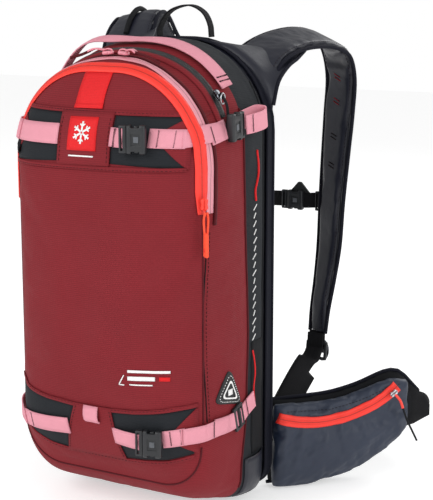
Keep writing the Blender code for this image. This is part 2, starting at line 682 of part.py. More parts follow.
def make_inflation_kit():
    for side, name in ((1, "right"), (-1, "left")):
        rings = []
        for angle in (-60, -30, 0, 20, 40, 60, 80):
            half_width, _, top, _ = section(0.010)
            turn = math.radians(max(angle, 0))
            drop = 0.0 if angle >= 0 else angle / 60 * 0.300
            ring = []
            for y, lift in ((-0.006, -0.006), (0.030, -0.006), (0.030, -0.030), (-0.006, -0.030)):
                radius = TOP_RADIUS + lift
                ring.append((side * (half_width - TOP_RADIUS + radius * math.cos(turn)), y,
                             top - TOP_RADIUS + radius * math.sin(turn) + drop))
            rings.append(ring)
        loft("airbag_" + name, rings, "airbag")
    cartridge = [(0.0, 0.262), (0.008, 0.262), (0.008, 0.250), (0.011, 0.246), (0.022, 0.240), (0.0255, 0.228),
                 (0.0255, 0.080), (0.022, 0.072), (0.0, 0.070)]
    turned("gas_cartridge", cartridge, Matrix.Translation((0.040, -0.048, 0)), "steel")
    box("inflation_valve", (0.052, 0.036, 0.060), Matrix.Translation((0.040, -0.048, 0.2935)), "valve", 0.004, 2)
    tube("inflation_hose", [(0.040, -0.048, 0.325), (0.040, -0.046, 0.360), (0.052, -0.030, 0.385),
                            (0.064, -0.006, 0.395), (0.084, 0.012, 0.398)], 0.006, "rubber")
    tube("trigger_cable", [(0.012, -0.048, 0.300), (-0.020, -0.045, 0.320), (-0.060, -0.030, 0.370),
                           (-0.074, -0.004, 0.430), (-0.070, 0.024, 0.480)], 0.0028, "rubber")


clear_scene()
PACK = new_collection("avalanche_airbag_backpack")
CUTTERS = new_collection("cutters")
LOOKS = {
    "burgundy": material("burgundy_fabric", (125, 42, 48), 0.80),
    "black": material("black_fabric", (42, 45, 50), 0.80),
    "navy": material("navy_fabric", (36, 36, 50), 0.72),
    "slate": material("slate_fabric", (50, 60, 78), 0.70),
    "pink_webbing": material("pink_webbing", (240, 175, 190), 0.75),
    "black_webbing": material("black_webbing", (24, 24, 28), 0.70),
    "red": material("red_fabric", (225, 45, 45), 0.70),
    "red_zip": material("red_zip", (255, 75, 55), 0.50),
    "pink_zip": material("pink_zip", (240, 175, 190), 0.55),
    "black_zip": material("black_zip", (25, 25, 28), 0.40),
    "orange": material("orange_cord", (250, 110, 85), 0.60),
    "plastic": material("black_plastic", (40, 42, 46), 0.45),
    "trigger": material("trigger_plastic", (205, 45, 40), 0.45),
    "steel": material("bright_steel", (190, 192, 196), 0.30, 1.0),
    "valve": material("valve_aluminium", (150, 155, 165), 0.35, 1.0),
    "rubber": material("black_rubber", (22, 22, 24), 0.60),
    "sheet": material("frame_sheet_plastic", (60, 62, 66), 0.55),
    "airbag": material("airbag_nylon", (235, 120, 40), 0.65),
}
make_body()
make_flap_and_straps()
make_ski_buckles()
make_zips()
make_shoulder_straps()
make_hip_belt()
make_grab_loop()
make_inflation_kit()
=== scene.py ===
"""Looks of the avalanche airbag backpack: cloth body, harness, hip belt, zips, webbing and buckles.

Metres, in the CAD frame: +Z up, -Y the front of the pack, +Y the wearer's side and +X the side with
the hip pocket. Soft pieces are simulated as cloth, and flat pieces are laid on the simulated skin.
"""

import json
import math

import bmesh
import bpy
import numpy as np
from mathutils import Matrix, Vector, noise
from mathutils.bvhtree import BVHTree


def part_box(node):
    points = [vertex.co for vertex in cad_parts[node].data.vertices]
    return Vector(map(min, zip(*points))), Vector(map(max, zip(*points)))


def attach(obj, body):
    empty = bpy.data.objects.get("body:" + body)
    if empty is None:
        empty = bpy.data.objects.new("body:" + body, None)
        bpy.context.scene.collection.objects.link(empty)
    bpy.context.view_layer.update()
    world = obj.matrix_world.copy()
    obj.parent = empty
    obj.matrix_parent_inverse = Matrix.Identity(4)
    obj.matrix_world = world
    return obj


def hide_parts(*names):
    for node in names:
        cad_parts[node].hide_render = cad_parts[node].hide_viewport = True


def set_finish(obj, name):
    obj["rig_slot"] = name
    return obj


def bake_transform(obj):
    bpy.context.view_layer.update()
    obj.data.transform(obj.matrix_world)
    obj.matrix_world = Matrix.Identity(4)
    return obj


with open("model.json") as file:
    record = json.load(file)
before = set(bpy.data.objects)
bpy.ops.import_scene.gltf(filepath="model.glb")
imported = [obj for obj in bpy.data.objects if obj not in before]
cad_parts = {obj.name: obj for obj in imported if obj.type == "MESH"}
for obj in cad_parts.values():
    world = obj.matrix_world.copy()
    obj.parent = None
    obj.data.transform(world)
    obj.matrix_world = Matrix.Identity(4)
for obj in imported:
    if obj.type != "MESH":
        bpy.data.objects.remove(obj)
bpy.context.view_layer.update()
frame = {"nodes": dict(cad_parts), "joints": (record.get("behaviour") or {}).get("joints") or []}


# Materials

def linear(rgb):
    """An 8-bit sRGB colour as linear light."""
    return tuple(c / 255 / 12.92 if c <= 10 else ((c / 255 + 0.055) / 1.055) ** 2.4 for c in rgb)


class Look:
    """A node material under construction, in metres."""

    def __init__(self, name, roughness, metallic=0.0, coords="Object"):
        self.material = bpy.data.materials.new(name)
        self.material.use_nodes = True
        self.tree = self.material.node_tree
        self.shader = self.tree.nodes["Principled BSDF"]
        self.shader.inputs["Roughness"].default_value = roughness
        self.shader.inputs["Metallic"].default_value = metallic
        place = self.node("ShaderNodeTexCoord").outputs[coords]
        self.place = place
        self.x, self.y, self.z = self.node("ShaderNodeSeparateXYZ", {0: place}).outputs

    def node(self, kind, inputs=None, **settings):
        made = self.tree.nodes.new(kind)
        for key, value in settings.items():
            setattr(made, key, value)
        for key, value in (inputs or {}).items():
            if isinstance(value, bpy.types.NodeSocket):
                self.tree.links.new(value, made.inputs[key])
            else:
                made.inputs[key].default_value = value
        return made

    def math(self, operation, a, b=0.0):
        return self.node("ShaderNodeMath", {0: a, 1: b}, operation=operation).outputs[0]

    def add(self, *terms):
        total = terms[0]
        for term in terms[1:]:
            total = self.math("ADD", total, term)
        return total

    def times(self, a, b):
        return self.math("MULTIPLY", a, b)

    def wave(self, coordinate, pitch):
        return self.math("SINE", self.times(coordinate, math.tau / pitch))

    def noise(self, scale, detail=2.0, stretch=(1, 1, 1)):
        """Noise from -0.5 to 0.5."""
        moved = self.node("ShaderNodeMapping", {0: self.place, "Scale": stretch}).outputs[0]
        made = self.node("ShaderNodeTexNoise", {"Vector": moved, "Scale": scale, "Detail": detail})
        return self.math("SUBTRACT", made.outputs["Fac"], 0.5)

    def colour(self, rgb, tone):
        """The base colour times a tone around 1."""
        scaled = self.node("ShaderNodeVectorMath", {0: linear(rgb), "Scale": tone}, operation="SCALE")
        self.tree.links.new(scaled.outputs[0], self.shader.inputs["Base Color"])

    def rough(self, value):
        self.tree.links.new(value, self.shader.inputs["Roughness"])

    def bump(self, height, strength=1.0):
        made = self.node("ShaderNodeBump", {"Strength": strength, "Distance": 1.0, "Height": height})
        self.tree.links.new(made.outputs[0], self.shader.inputs["Normal"])


def fabric(name, rgb, pitch=0.0022, rib=0.05, depth=0.00006, roughness=0.8, shine=0.22, crease=0.0006,
           drift=0.22):
    """Woven cloth: crossed threads, drifting colour and soft creases."""
    look = Look(name, roughness)
    warp = look.wave(look.math("ADD", look.x, look.y), pitch)
    weft = look.wave(look.z, pitch)
    weave = look.add(look.times(warp, 0.4), weft, look.times(look.times(warp, weft), 0.8))
    fine = look.noise(700, 1.0)
    tone = look.add(1.0, look.times(weave, rib), look.times(look.noise(14, 4.0), drift),
                    look.times(fine, 0.25))
    look.colour(rgb, tone)
    look.rough(look.add(roughness, look.times(look.noise(30, 3.0), 0.2)))
    creases = look.add(look.times(look.noise(16, 3.0, (1, 1, 0.6)), crease * 2.4),
                       look.times(look.noise(60, 3.0), crease * 0.5))
    look.bump(look.add(look.times(weave, depth), creases, look.times(fine, 0.0001)))
    look.shader.inputs["Specular IOR Level"].default_value = shine
    return look.material


def webbing(name, rgb, pitch=0.0016, roughness=0.75):
    """Narrow webbing with a herringbone weave; its UVs are metres across and along."""
    look = Look(name, roughness, coords="UV")
    slant = look.add(look.y, look.times(look.math("PINGPONG", look.x, 0.003), 0.9))
    ribs = look.wave(slant, pitch)
    cross = look.wave(look.x, 0.0013)
    fine = look.noise(1500, 1.0)
    tone = look.add(0.98, look.times(ribs, 0.05), look.times(cross, 0.02),
                    look.times(look.noise(40, 3.0), 0.12), look.times(fine, 0.12))
    look.colour(rgb, tone)
    look.bump(look.add(look.times(ribs, 0.00009), look.times(cross, 0.00004),
                       look.times(look.noise(90, 2.0), 0.0004)))
    look.shader.inputs["Specular IOR Level"].default_value = 0.2
    return look.material


def coil(name, rgb, roughness=0.5, teeth=0.07):
    """Zip tape with coil teeth along its middle; its UVs are metres across and along."""
    look = Look(name, roughness, coords="UV")
    middle = look.math("LESS_THAN", look.math("ABSOLUTE", look.x), 0.0030)
    ridge = look.times(look.wave(look.y, 0.0014), middle)
    thread = look.wave(look.add(look.x, look.y), 0.0009)
    seam = look.math("LESS_THAN", look.math("ABSOLUTE", look.x), 0.0006)
    tone = look.add(1.0, look.times(ridge, teeth), look.times(thread, 0.03), look.times(seam, -0.45),
                    look.times(look.noise(50, 3.0), 0.10))
    look.colour(rgb, tone)
    look.bump(look.add(look.times(ridge, 0.00016), look.times(thread, 0.00003)))
    look.rough(look.add(roughness, look.times(look.noise(80), 0.25)))
    return look.material


def plastic(name, rgb, roughness=0.45, edge_highlight=0.5):
    """Moulded plastic with a fine texture, and edges painted paler as a highlight."""
    look = Look(name, roughness)
    edge = look.node("ShaderNodeNewGeometry").outputs["Pointiness"]
    # painted highlight: the colour is made paler where the surface is sharply convex, along the edges
    painted_edge_light = look.math("MAXIMUM", look.times(look.math("SUBTRACT", edge, 0.52), 5.0), 0.0)
    tone = look.add(1.0, look.times(painted_edge_light, edge_highlight * 2), look.times(look.noise(60, 4.0), 0.35))
    look.colour(rgb, tone)
    look.rough(look.add(roughness, look.times(look.noise(240, 3.0), 0.3)))
    look.bump(look.times(look.noise(1600, 2.0), 0.00010))
    return look.material


def metal(name, rgb, roughness=0.28):
    """Brushed metal with fine scratches."""
    look = Look(name, roughness, metallic=1.0)
    brushed = look.noise(300, 4.0, (0.1, 1, 1))
    look.colour(rgb, look.add(1.0, look.times(brushed, 0.3)))
    look.rough(look.add(roughness, look.times(brushed, 0.3)))
    look.bump(look.times(brushed, 0.00005))
    return look.material


def spacer_mesh(name, rgb, cell=0.0042):
    """Open knit over foam: rows of small holes, painted dark as the shade inside them."""
    look = Look(name, 0.85)
    holes = look.times(look.wave(look.x, cell), look.wave(look.z, cell))
    # painted shade: the colour darkens in the knit's holes, where the surface is also bumped down
    dark = look.math("MAXIMUM", look.math("SUBTRACT", holes, 0.25), 0.0)
    look.colour(rgb, look.add(1.1, look.times(dark, -0.9), look.times(look.noise(20, 3.0), 0.2)))
    look.bump(look.add(look.times(dark, -0.0006), look.times(look.noise(12, 2.0), 0.002)))
    look.shader.inputs["Specular IOR Level"].default_value = 0.2
    return look.material


def coated(name, rgb, roughness=0.42, crease=0.0016):
    """Smooth coated nylon that creases and shines, with painted shade in its creases: the colour is darker in
    the fold hollows and lighter on the ridges.
    """
    look = Look(name, roughness)
    folds = look.noise(22, 4.0, (0.7, 1.2, 1.0))
    fine = look.noise(90, 4.0)
    threads = look.wave(look.add(look.x, look.y, look.z), 0.0018)
    # painted shade and light: the fold noise that bumps the surface also darkens its hollows and lightens its
    # ridges
    look.colour(rgb, look.add(1.0, look.times(folds, 0.3), look.times(threads, 0.02)))
    look.rough(look.add(roughness, look.times(fine, 0.25)))
    look.bump(look.add(look.times(folds, crease), look.times(fine, crease * 0.2),
                       look.times(threads, 0.00002)))
    look.shader.inputs["Specular IOR Level"].default_value = 0.45
    return look.material


BURGUNDY = fabric("burgundy_ripstop", (120, 31, 38), rib=0.12)
BURGUNDY_DARK = fabric("burgundy_binding", (80, 18, 25), pitch=0.0014, crease=0.0002)
CHARCOAL = fabric("charcoal_fabric", (30, 33, 37), pitch=0.0018, rib=0.04)
BLACK = fabric("black_fabric", (19, 20, 23), pitch=0.0016, rib=0.05, crease=0.0008)
NAVY = coated("navy_coated", (24, 26, 38))
NAVY_EDGE = fabric("navy_binding", (20, 21, 31), pitch=0.0013, roughness=0.75, shine=0.15, crease=0.0002)
NAVY_MESH = spacer_mesh("navy_mesh", (28, 30, 43))
SLATE = coated("slate_coated", (31, 40, 58), roughness=0.5, crease=0.0012)
RED = fabric("red_fabric", (214, 30, 34), pitch=0.0016, rib=0.03, crease=0.0002, roughness=0.6)
PINK_WEB = webbing("pink_webbing", (226, 152, 166))
BLACK_WEB = webbing("black_webbing", (17, 17, 20))
RED_ZIP = coil("red_zip_tape", (244, 50, 36), teeth=0.02)
PINK_ZIP = coil("pink_zip_tape", (226, 150, 162))
BLACK_ZIP = coil("black_zip_tape", (20, 20, 23), roughness=0.35)
PLASTIC = plastic("black_acetal", (26, 28, 31))
PALE_PLASTIC = plastic("pale_acetal", (74, 77, 82))
PINK_PLASTIC = plastic("pink_slider", (222, 138, 152), roughness=0.35, edge_highlight=0.1)
RED_PLASTIC = plastic("red_slider", (236, 60, 44), roughness=0.4, edge_highlight=0.1)
TRIGGER = plastic("red_handle", (205, 45, 40), roughness=0.4, edge_highlight=0.2)
ORANGE = fabric("orange_cord", (246, 84, 56), pitch=0.0012, crease=0.0001)
STEEL = metal("bright_steel", (196, 198, 202))
GUNMETAL = metal("gunmetal", (92, 94, 99), roughness=0.22)
ALUMINIUM = metal("valve_aluminium", (150, 155, 165), roughness=0.4)
RUBBER = plastic("black_rubber", (20, 22, 23), roughness=0.6, edge_highlight=0.3)
SHEET = plastic("grey_sheet", (60, 62, 66), roughness=0.55, edge_highlight=0.1)
AIRBAG = coated("orange_nylon", (232, 118, 44))
THREAD_DARK = fabric("dark_thread", (30, 16, 20), pitch=0.0008, crease=0.0)
THREAD_RED = fabric("red_thread", (150, 30, 44), pitch=0.0008, crease=0.0)
WHITE = fabric("white_print", (240, 240, 238), pitch=0.0012, rib=0.02, crease=0.0, roughness=0.6)


# Pieces

TACK_THREAD, TACK_PITCH = 0.0004, 0.0007
STITCH_SIDES = 5
STITCH_ENDS = ((0.0, 0.3), (0.2, 1.0), (0.8, 1.0), (1.0, 0.3))  # shares of a stitch's length and radius
CLOTH_PRESSURE, CLOTH_FRAMES = 4.0, 20


def dress(obj, look, body, slot, replaced=()):
    """Gives a new piece its material, its body and its place in the record."""
    if obj.name not in bpy.context.scene.objects:
        bpy.context.scene.collection.objects.link(obj)
    if not obj.data.materials:
        obj.data.materials.append(look)
    if body:
        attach(obj, body)
    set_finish(obj, slot)
    if replaced:
        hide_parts(*replaced)
    return obj


def sheets(name, sheet_list, look, body, slot, thickness=0.0, replaced=(), offset=1.0, away=None):
    """One mesh of one or more surfaces through rows of points, with UVs in metres across and along."""
    points, faces, marks = [], [], []
    for rows in sheet_list:
        rows = np.array([[tuple(p) for p in row] for row in rows], float)
        count, width = rows.shape[:2]
        start = len(points)
        across = np.linalg.norm(np.diff(rows, axis=1), axis=2)
        u = np.concatenate([np.zeros((count, 1)), np.cumsum(across, axis=1)], axis=1)
        u = u - u[:, -1:] / 2
        along = np.linalg.norm(np.diff(rows[:, width // 2], axis=0), axis=1)
        v = np.concatenate([[0.0], np.cumsum(along)])
        points += rows.reshape(-1, 3).tolist()
        marks += [(u[i, j], v[i]) for i in range(count) for j in range(width)]
        made = [(start + i * width + j, start + i * width + j + 1, start + (i + 1) * width + j + 1,
                 start + (i + 1) * width + j) for i in range(count - 1) for j in range(width - 1)]
        if away is not None:
            a, b, c = rows[0, 0], rows[0, -1], rows[-1, 0]
            if np.dot(np.cross(b - a, c - a), rows.reshape(-1, 3).mean(0) - np.array(away)) < 0:
                made = [face[::-1] for face in made]
        faces += made
    data = bpy.data.meshes.new(name)
    data.from_pydata(points, [], faces)
    layer = data.uv_layers.new(name="Metres")
    for loop in data.loops:
        layer.data[loop.index].uv = marks[loop.vertex_index]
    data.shade_smooth()
    obj = bpy.data.objects.new(name, data)
    if thickness:
        solid = obj.modifiers.new("Thickness", "SOLIDIFY")
        solid.thickness = thickness
        solid.offset = offset
        solid.use_even_offset = False
    return dress(obj, look, body, slot, replaced)


def smooth_path(points, steps):
    """A Catmull-Rom curve through points, with some steps in each span."""
    points = [Vector(p) for p in points]
    padded = [points[0] * 2 - points[1], *points, points[-1] * 2 - points[-2]]
    path = []
    for i in range(1, len(padded) - 2):
        p0, p1, p2, p3 = padded[i - 1:i + 3]
        for k in range(steps):
            t = k / steps
            path.append(0.5 * (2 * p1 + (p2 - p0) * t + (2 * p0 - 5 * p1 + 4 * p2 - p3) * t ** 2
                               + (3 * p1 - p0 - 3 * p2 + p3) * t ** 3))
    return path + [points[-1]]


def ribbon(name, centres, across, width, thickness, look, body, slot, replaced=()):
    """Webbing along a path in space; across is one direction, or one for each point."""
    centres = [Vector(c) for c in centres]
    directions = across if isinstance(across, list) else [across] * len(centres)
    rows = []
    for centre, direction in zip(centres, directions):
        side = Vector(direction).normalized() * width / 2
        rows.append([centre + side * share for share in (-1, -0.9, -0.5, 0, 0.5, 0.9, 1)])
    return sheets(name, [rows], look, body, slot, thickness, replaced, offset=0.0)


def tube(name, points, radius, look, body, slot, cyclic=False):
    """A round cord along points."""
    data = bpy.data.curves.new(name, "CURVE")
    data.dimensions = "3D"
    data.bevel_depth = radius
    data.bevel_resolution = 2
    data.use_fill_caps = True
    spline = data.splines.new("POLY")
    spline.points.add(len(points) - 1)
    for point, position in zip(spline.points, points):
        point.co = (*position, 1)
    spline.use_cyclic_u = cyclic
    spline.use_smooth = True
    return dress(bpy.data.objects.new(name, data), look, body, slot)


def stitches(name, lines, look, body, slot, length=0.0030, gap=0.0016, radius=0.00035):
    """Runs of thread along lines of points, each stitch a small rounded dash."""
    points, faces = [], []
    sides = STITCH_SIDES
    for line in lines:
        line = np.array([tuple(p) for p in line], float)
        far = np.concatenate([[0.0], np.cumsum(np.linalg.norm(np.diff(line, axis=0), axis=1))])
        for start in np.arange(gap / 2, far[-1] - length, length + gap):
            first, last = (np.array([np.interp(s, far, line[:, k]) for k in range(3)])
                           for s in (start, start + length))
            axis = Vector(last - first).normalized()
            out = axis.orthogonal().normalized()
            base = len(points)
            for share, swell in STITCH_ENDS:
                middle = Vector(first + (last - first) * share)
                for k in range(sides):
                    spoke = Matrix.Rotation(math.tau * k / sides, 3, axis) @ out
                    points.append(middle + spoke * radius * swell)
            for i in range(len(STITCH_ENDS) - 1):
                for k in range(sides):
                    a, b = base + i * sides + k, base + i * sides + (k + 1) % sides
                    faces.append((a, b, b + sides, a + sides))
            faces.append(tuple(base + k for k in reversed(range(sides))))
            faces.append(tuple(base + (len(STITCH_ENDS) - 1) * sides + k for k in range(sides)))
    data = bpy.data.meshes.new(name)
    data.from_pydata(points, [], faces)
    data.shade_smooth()
    return dress(bpy.data.objects.new(name, data), look, body, slot)


def bar_tack(name, spans, look, body, slot, half_width=0.0007):
    """Dense zigzag stitching over each span of a first point, a last point and a direction of zigzag."""
    data = bpy.data.curves.new(name, "CURVE")
    data.dimensions = "3D"
    data.bevel_depth = TACK_THREAD
    data.bevel_resolution = 1
    for first, last, swing in spans:
        first, last, swing = Vector(first), Vector(last), Vector(swing).normalized() * half_width
        count = max(4, round((last - first).length / TACK_PITCH))
        spline = data.splines.new("POLY")
        spline.points.add(count)
        for i in range(count + 1):
            spline.points[i].co = (*(first.lerp(last, i / count) + swing * (1 if i % 2 else -1)), 1)
    return dress(bpy.data.objects.new(name, data), look, body, slot)


def loft_mesh(name, rings):
    """A closed mesh through rings of equal length."""
    points = [tuple(p) for ring in rings for p in ring]
    count = len(rings[0])
    faces = [(i * count + j, i * count + (j + 1) % count, (i + 1) * count + (j + 1) % count,
              (i + 1) * count + j)
             for i in range(len(rings) - 1) for j in range(count)]
    faces.append(tuple(reversed(range(count))))
    faces.append(tuple(range(len(points) - count, len(points))))
    data = bpy.data.meshes.new(name)
    data.from_pydata(points, [], faces)
    work = bmesh.new()
    work.from_mesh(data)
    bmesh.ops.recalc_face_normals(work, faces=work.faces)
    work.to_mesh(data)
    work.free()
    obj = bpy.data.objects.new(name, data)
    bpy.context.scene.collection.objects.link(obj)
    return obj


def coordinates(data):
    """The places of a mesh's points, one row each."""
    values = np.empty(len(data.vertices) * 3)
    data.vertices.foreach_get("co", values)
    return values.reshape(-1, 3)


def set_coordinates(data, values):
    data.vertices.foreach_set("co", np.asarray(values, float).ravel())
    data.update()


def apply_modifiers(obj):
    """Turns what the modifiers show into the mesh itself."""
    graph = bpy.context.evaluated_depsgraph_get()
    made = bpy.data.meshes.new_from_object(obj.evaluated_get(graph))
    old = obj.data
    obj.modifiers.clear()
    obj.data = made
    bpy.data.meshes.remove(old)


def refine(obj):
    """Rounds a mesh by dividing its faces once."""
    finer = obj.modifiers.new("Finer", "SUBSURF")
    finer.levels = finer.render_levels = 1
    apply_modifiers(obj)


def inflate(obj, voxel, cap, pinned=None, growth=0.0):
    """Remeshes a soft form and lets cloth under pressure fill it, moving no point further than cap."""
    remesh = obj.modifiers.new("Remesh", "REMESH")
    remesh.mode = "VOXEL"
    remesh.voxel_size = voxel
    apply_modifiers(obj)
    relax = obj.modifiers.new("Relax", "SMOOTH")
    relax.factor = 0.5
    relax.iterations = 2
    apply_modifiers(obj)
    start = coordinates(obj.data)
    cloth = obj.modifiers.new("Cloth", "CLOTH")
    settings = cloth.settings
    settings.quality = 5
    settings.mass = 0.3
    settings.tension_stiffness = 15
    settings.compression_stiffness = 15
    settings.bending_stiffness = 0.5
    settings.shrink_min = -growth
    settings.use_pressure = True
    settings.uniform_pressure_force = CLOTH_PRESSURE
    settings.effector_weights.gravity = 0
    cloth.collision_settings.use_collision = False
    if pinned is not None:
        group = obj.vertex_groups.new(name="seams")
        for index, point in enumerate(start):
            weight = pinned(*point)
            if weight > 0:
                group.add([index], weight, "REPLACE")
        settings.vertex_group_mass = "seams"
    scene = bpy.context.scene
    for step in range(1, CLOTH_FRAMES + 1):
        scene.frame_set(step)
    graph = bpy.context.evaluated_depsgraph_get()
    moved = coordinates(obj.evaluated_get(graph).to_mesh()) - start
    obj.modifiers.clear()
    far = np.linalg.norm(moved, axis=1, keepdims=True)
    moved *= np.minimum(1.0, cap / np.maximum(far, 1e-9))
    set_coordinates(obj.data, start + moved)
    scene.frame_set(1)
    refine(obj)
    obj.data.shade_smooth()


def skin_of(obj):
    """A search tree of a mesh object's faces."""
    data = obj.data
    points = [Vector(v.co) for v in data.vertices]
    return BVHTree.FromPolygons(points, [tuple(p.vertices) for p in data.polygons])


def land(skin, origin, direction, lift):
    """The place where a ray meets a skin, raised off it along the ray."""
    hit, _, _, _ = skin.ray_cast(origin, direction)
    if hit is None:
        hit = skin.find_nearest(origin + direction * 0.05)[0]
    return hit - Vector(direction).normalized() * lift


def trim(source, name, planes):
    """A copy of a mesh that keeps what lies behind each plane, given as a point and a normal."""
    work = bmesh.new()
    work.from_mesh(source)
    for point, normal in planes:
        geometry = work.verts[:] + work.edges[:] + work.faces[:]
        bmesh.ops.bisect_plane(work, geom=geometry, plane_co=point, plane_no=normal, clear_outer=True)
    data = bpy.data.meshes.new(name)
    work.to_mesh(data)
    work.free()
    data.shade_smooth()
    return bpy.data.objects.new(name, data)


# The pack body

SECTIONS = (  # depth, half width, bottom, top, radius of the bottom corners
    (-0.110, 0.127, 0.050, 0.524, 0.060),
    (-0.090, 0.128, 0.028, 0.527, 0.050),
    (-0.075, 0.129, 0.020, 0.529, 0.045),
    (-0.030, 0.129, 0.008, 0.545, 0.035),
    (-0.016, 0.129, 0.004, 0.548, 0.030),
    (0.040, 0.127, 0.000, 0.550, 0.030),
)
TOP_RADIUS = 0.110
ARC_STEPS = 14
BULGE = 0.044
FRONT_MIDDLE_Z = 0.285
SEAM_Y = -0.105
SLOPE_OUT, SLOPE_FRONT = 0.819, 0.574  # the slope there faces 35 degrees forward of sideways
SLACK = 0.0022  # the form starts this much inside the CAD skin, and the cloth fills it out
BODY_MIDDLE = Vector((0, -0.03, 0.28))
SIDES = ((1, "right"), (-1, "left"))
FABRIC_LIFT = 0.0004


def section(y):
    """Half width, bottom, top and bottom corner radius of the body at a depth."""
    depths = [s[0] for s in SECTIONS]
    return [float(np.interp(y, depths, [s[k] for s in SECTIONS])) for k in (1, 2, 3, 4)]


def outline(y, inset=0.0):
    """The body's rounded outline at a depth, as (x, z, outward x, outward z), anticlockwise from below."""
    half, low, top, corner = section(y)
    corners = ((half - corner, low + corner, corner, -90),
               (half - TOP_RADIUS, top - TOP_RADIUS, TOP_RADIUS, 0),
               (TOP_RADIUS - half, top - TOP_RADIUS, TOP_RADIUS, 90),
               (corner - half, low + corner, corner, 180))
    points = []
    for cx, cz, radius, start in corners:
        for i in range(ARC_STEPS + 1):
            turn = math.radians(start + 90 * i / ARC_STEPS)
            c, s = math.cos(turn), math.sin(turn)
            points.append((cx + (radius - inset) * c, cz + (radius - inset) * s, c, s))
    return points


def band_edge(z):
    """Depth of the seam between the coloured body and the black band, which wanders with height."""
    return float(np.interp(z, (0.0, 0.064, 0.109, 0.216, 0.325, 0.381, 0.436, 0.50, 0.55),
                           (-0.026, -0.022, -0.011, -0.007, -0.014, -0.016, -0.019, -0.020, -0.018)))


def pin_body(x, y, z):
    """Seams hold the cloth: the front panel's edge, the band's edge, the hems of the windows and the back."""
    if y > 0.030 or z < 0.012:
        return 1.0
    if abs(y - SEAM_Y) < 0.006:
        return 1.0
    if y > -0.1 and abs(y - band_edge(z)) < 0.0035:
        return 0.9
    if y < -0.112 and min(abs(z - 0.143), abs(z - 0.473), abs(z - 0.419), abs(z - 0.086)) < 0.0035:
        return 0.85
    return 0.0


FOOT_LIFT = 0.0075  # how far the stuffed bottom curves up towards the front


def make_body():
    rings = []
    for y in (0.0370, 0.030, 0.010, -0.014, -0.030, -0.060, -0.075, -0.090, -0.100):
        rings.append([(x, y, z) for x, z, _, _ in outline(y, SLACK)])
    face = outline(-0.110, 0.007 + SLACK * 0.5)
    for share in (1.0, 0.97, 0.93, 0.88, 0.82, 0.74, 0.66, 0.56, 0.46, 0.34, 0.20, 0.06):
        y = -0.110 + SLACK * 0.8 - BULGE * (1 - share ** 4)
        rings.append([(x * share, y, FRONT_MIDDLE_Z + (z - FRONT_MIDDLE_Z) * share) for x, z, _, _ in face])
    form = loft_mesh("body_form", rings)
    inflate(form, 0.0055, 0.0042, pin_body, growth=0.004)
    points = coordinates(form.data)
    for i, (x, y, z) in enumerate(points):
        wrinkle = noise.fractal(Vector((x * 14, y * 18, z * 7)), 0.8, 2.0, 3) * 0.0009
        sideways = math.copysign(wrinkle, x) if y > -0.1 else 0
        forwards = -wrinkle if y < -0.112 else 0
        points[i] += np.array((sideways, forwards, 0))
        low_down = max(0.0, 1 - z / 0.070)
        points[i, 2] += FOOT_LIFT * low_down ** 1.5 * min(1.0, max(0.0, (0.030 - y) / 0.110))
    points[:, 2] = np.maximum(points[:, 2], 0.0004)
    set_coordinates(form.data, points)
    skin = skin_of(form)
    warped = form.data.copy()
    shifted = points.copy()
    shifted[:, 1] -= [band_edge(z) for z in points[:, 2]]
    set_coordinates(warped, shifted)
    pieces = (("airbag_band_cloth", CHARCOAL, "black_fabric", "airbag_band", (0, -1, 0)),
              ("main_compartment_cloth", BURGUNDY, "burgundy_fabric", "main_compartment", (0, 1, 0)))
    for name, look, slot, node, cut_side in pieces:
        piece = trim(warped, name, [((0, 0, 0), cut_side)])
        values = coordinates(piece.data)
        values[:, 1] += [band_edge(z) for z in values[:, 2]]
        set_coordinates(piece.data, values)
        if node == "main_compartment":
            rest = piece.data
            piece = trim(rest, name, [((0, -0.0965, 0), (0, -1, 0))])
            front = trim(rest, "front_panel_cloth", [((0, -0.0965, 0), (0, 1, 0))])
            dress(front, BURGUNDY, "pack_body", "burgundy_fabric", ["front_pocket"])
            bpy.data.meshes.remove(rest)
        dress(piece, look, "pack_body", slot, [node])
    bpy.data.objects.remove(form)
    return skin


SKIN = make_body()


def on_front(x, z, lift=FABRIC_LIFT):
    return land(SKIN, Vector((x, -0.40, z)), Vector((0, 1, 0)), lift)


def on_side(side, y, z, lift=FABRIC_LIFT):
    return land(SKIN, Vector((side * 0.30, y, z)), Vector((-side, 0, 0)), lift)


def front_sheet(name, low, high, look, slot, thickness, lift=FABRIC_LIFT, columns=None, replaced=()):
    """Cloth on the front between a lower and an upper line, each a list of (x, z) from left to right."""
    x_low, x_high = low[0][0], low[-1][0]
    columns = columns or max(3, round((x_high - x_low) / 0.005))
    rows = []
    count = max(3, round(max(h[1] - l[1] for l, h in zip((low[0], low[-1]), (high[0], high[-1]))) / 0.005))
    for j in range(count + 1):
        share = j / count
        row = []
        for i in range(columns + 1):
            t = i / columns
            lows = line_at(low, t)
            highs = line_at(high, t)
            row.append(on_front(lows[0] + (highs[0] - lows[0]) * share,
                                lows[1] + (highs[1] - lows[1]) * share, lift))
        rows.append(row)
    return sheets(name, [rows], look, "pack_body", slot, thickness, replaced, away=BODY_MIDDLE)


def line_at(line, t):
    """The place at a share of a polyline's run in x."""
    xs = [p[0] for p in line]
    x = xs[0] + (xs[-1] - xs[0]) * t
    return x, float(np.interp(x, xs, [p[1] for p in line]))


def front_line(line, lift, step=0.004):
    """Points on the front skin along a polyline of (x, z)."""
    points = []
    for (x0, z0), (x1, z1) in zip(line, line[1:]):
        count = max(1, round(math.hypot(x1 - x0, z1 - z0) / step))
        points += [on_front(x0 + (x1 - x0) * i / count, z0 + (z1 - z0) * i / count, lift)
                   for i in range(count)]
    return points + [on_front(*line[-1], lift)]


# Front panel: windows, flap, hems and prints

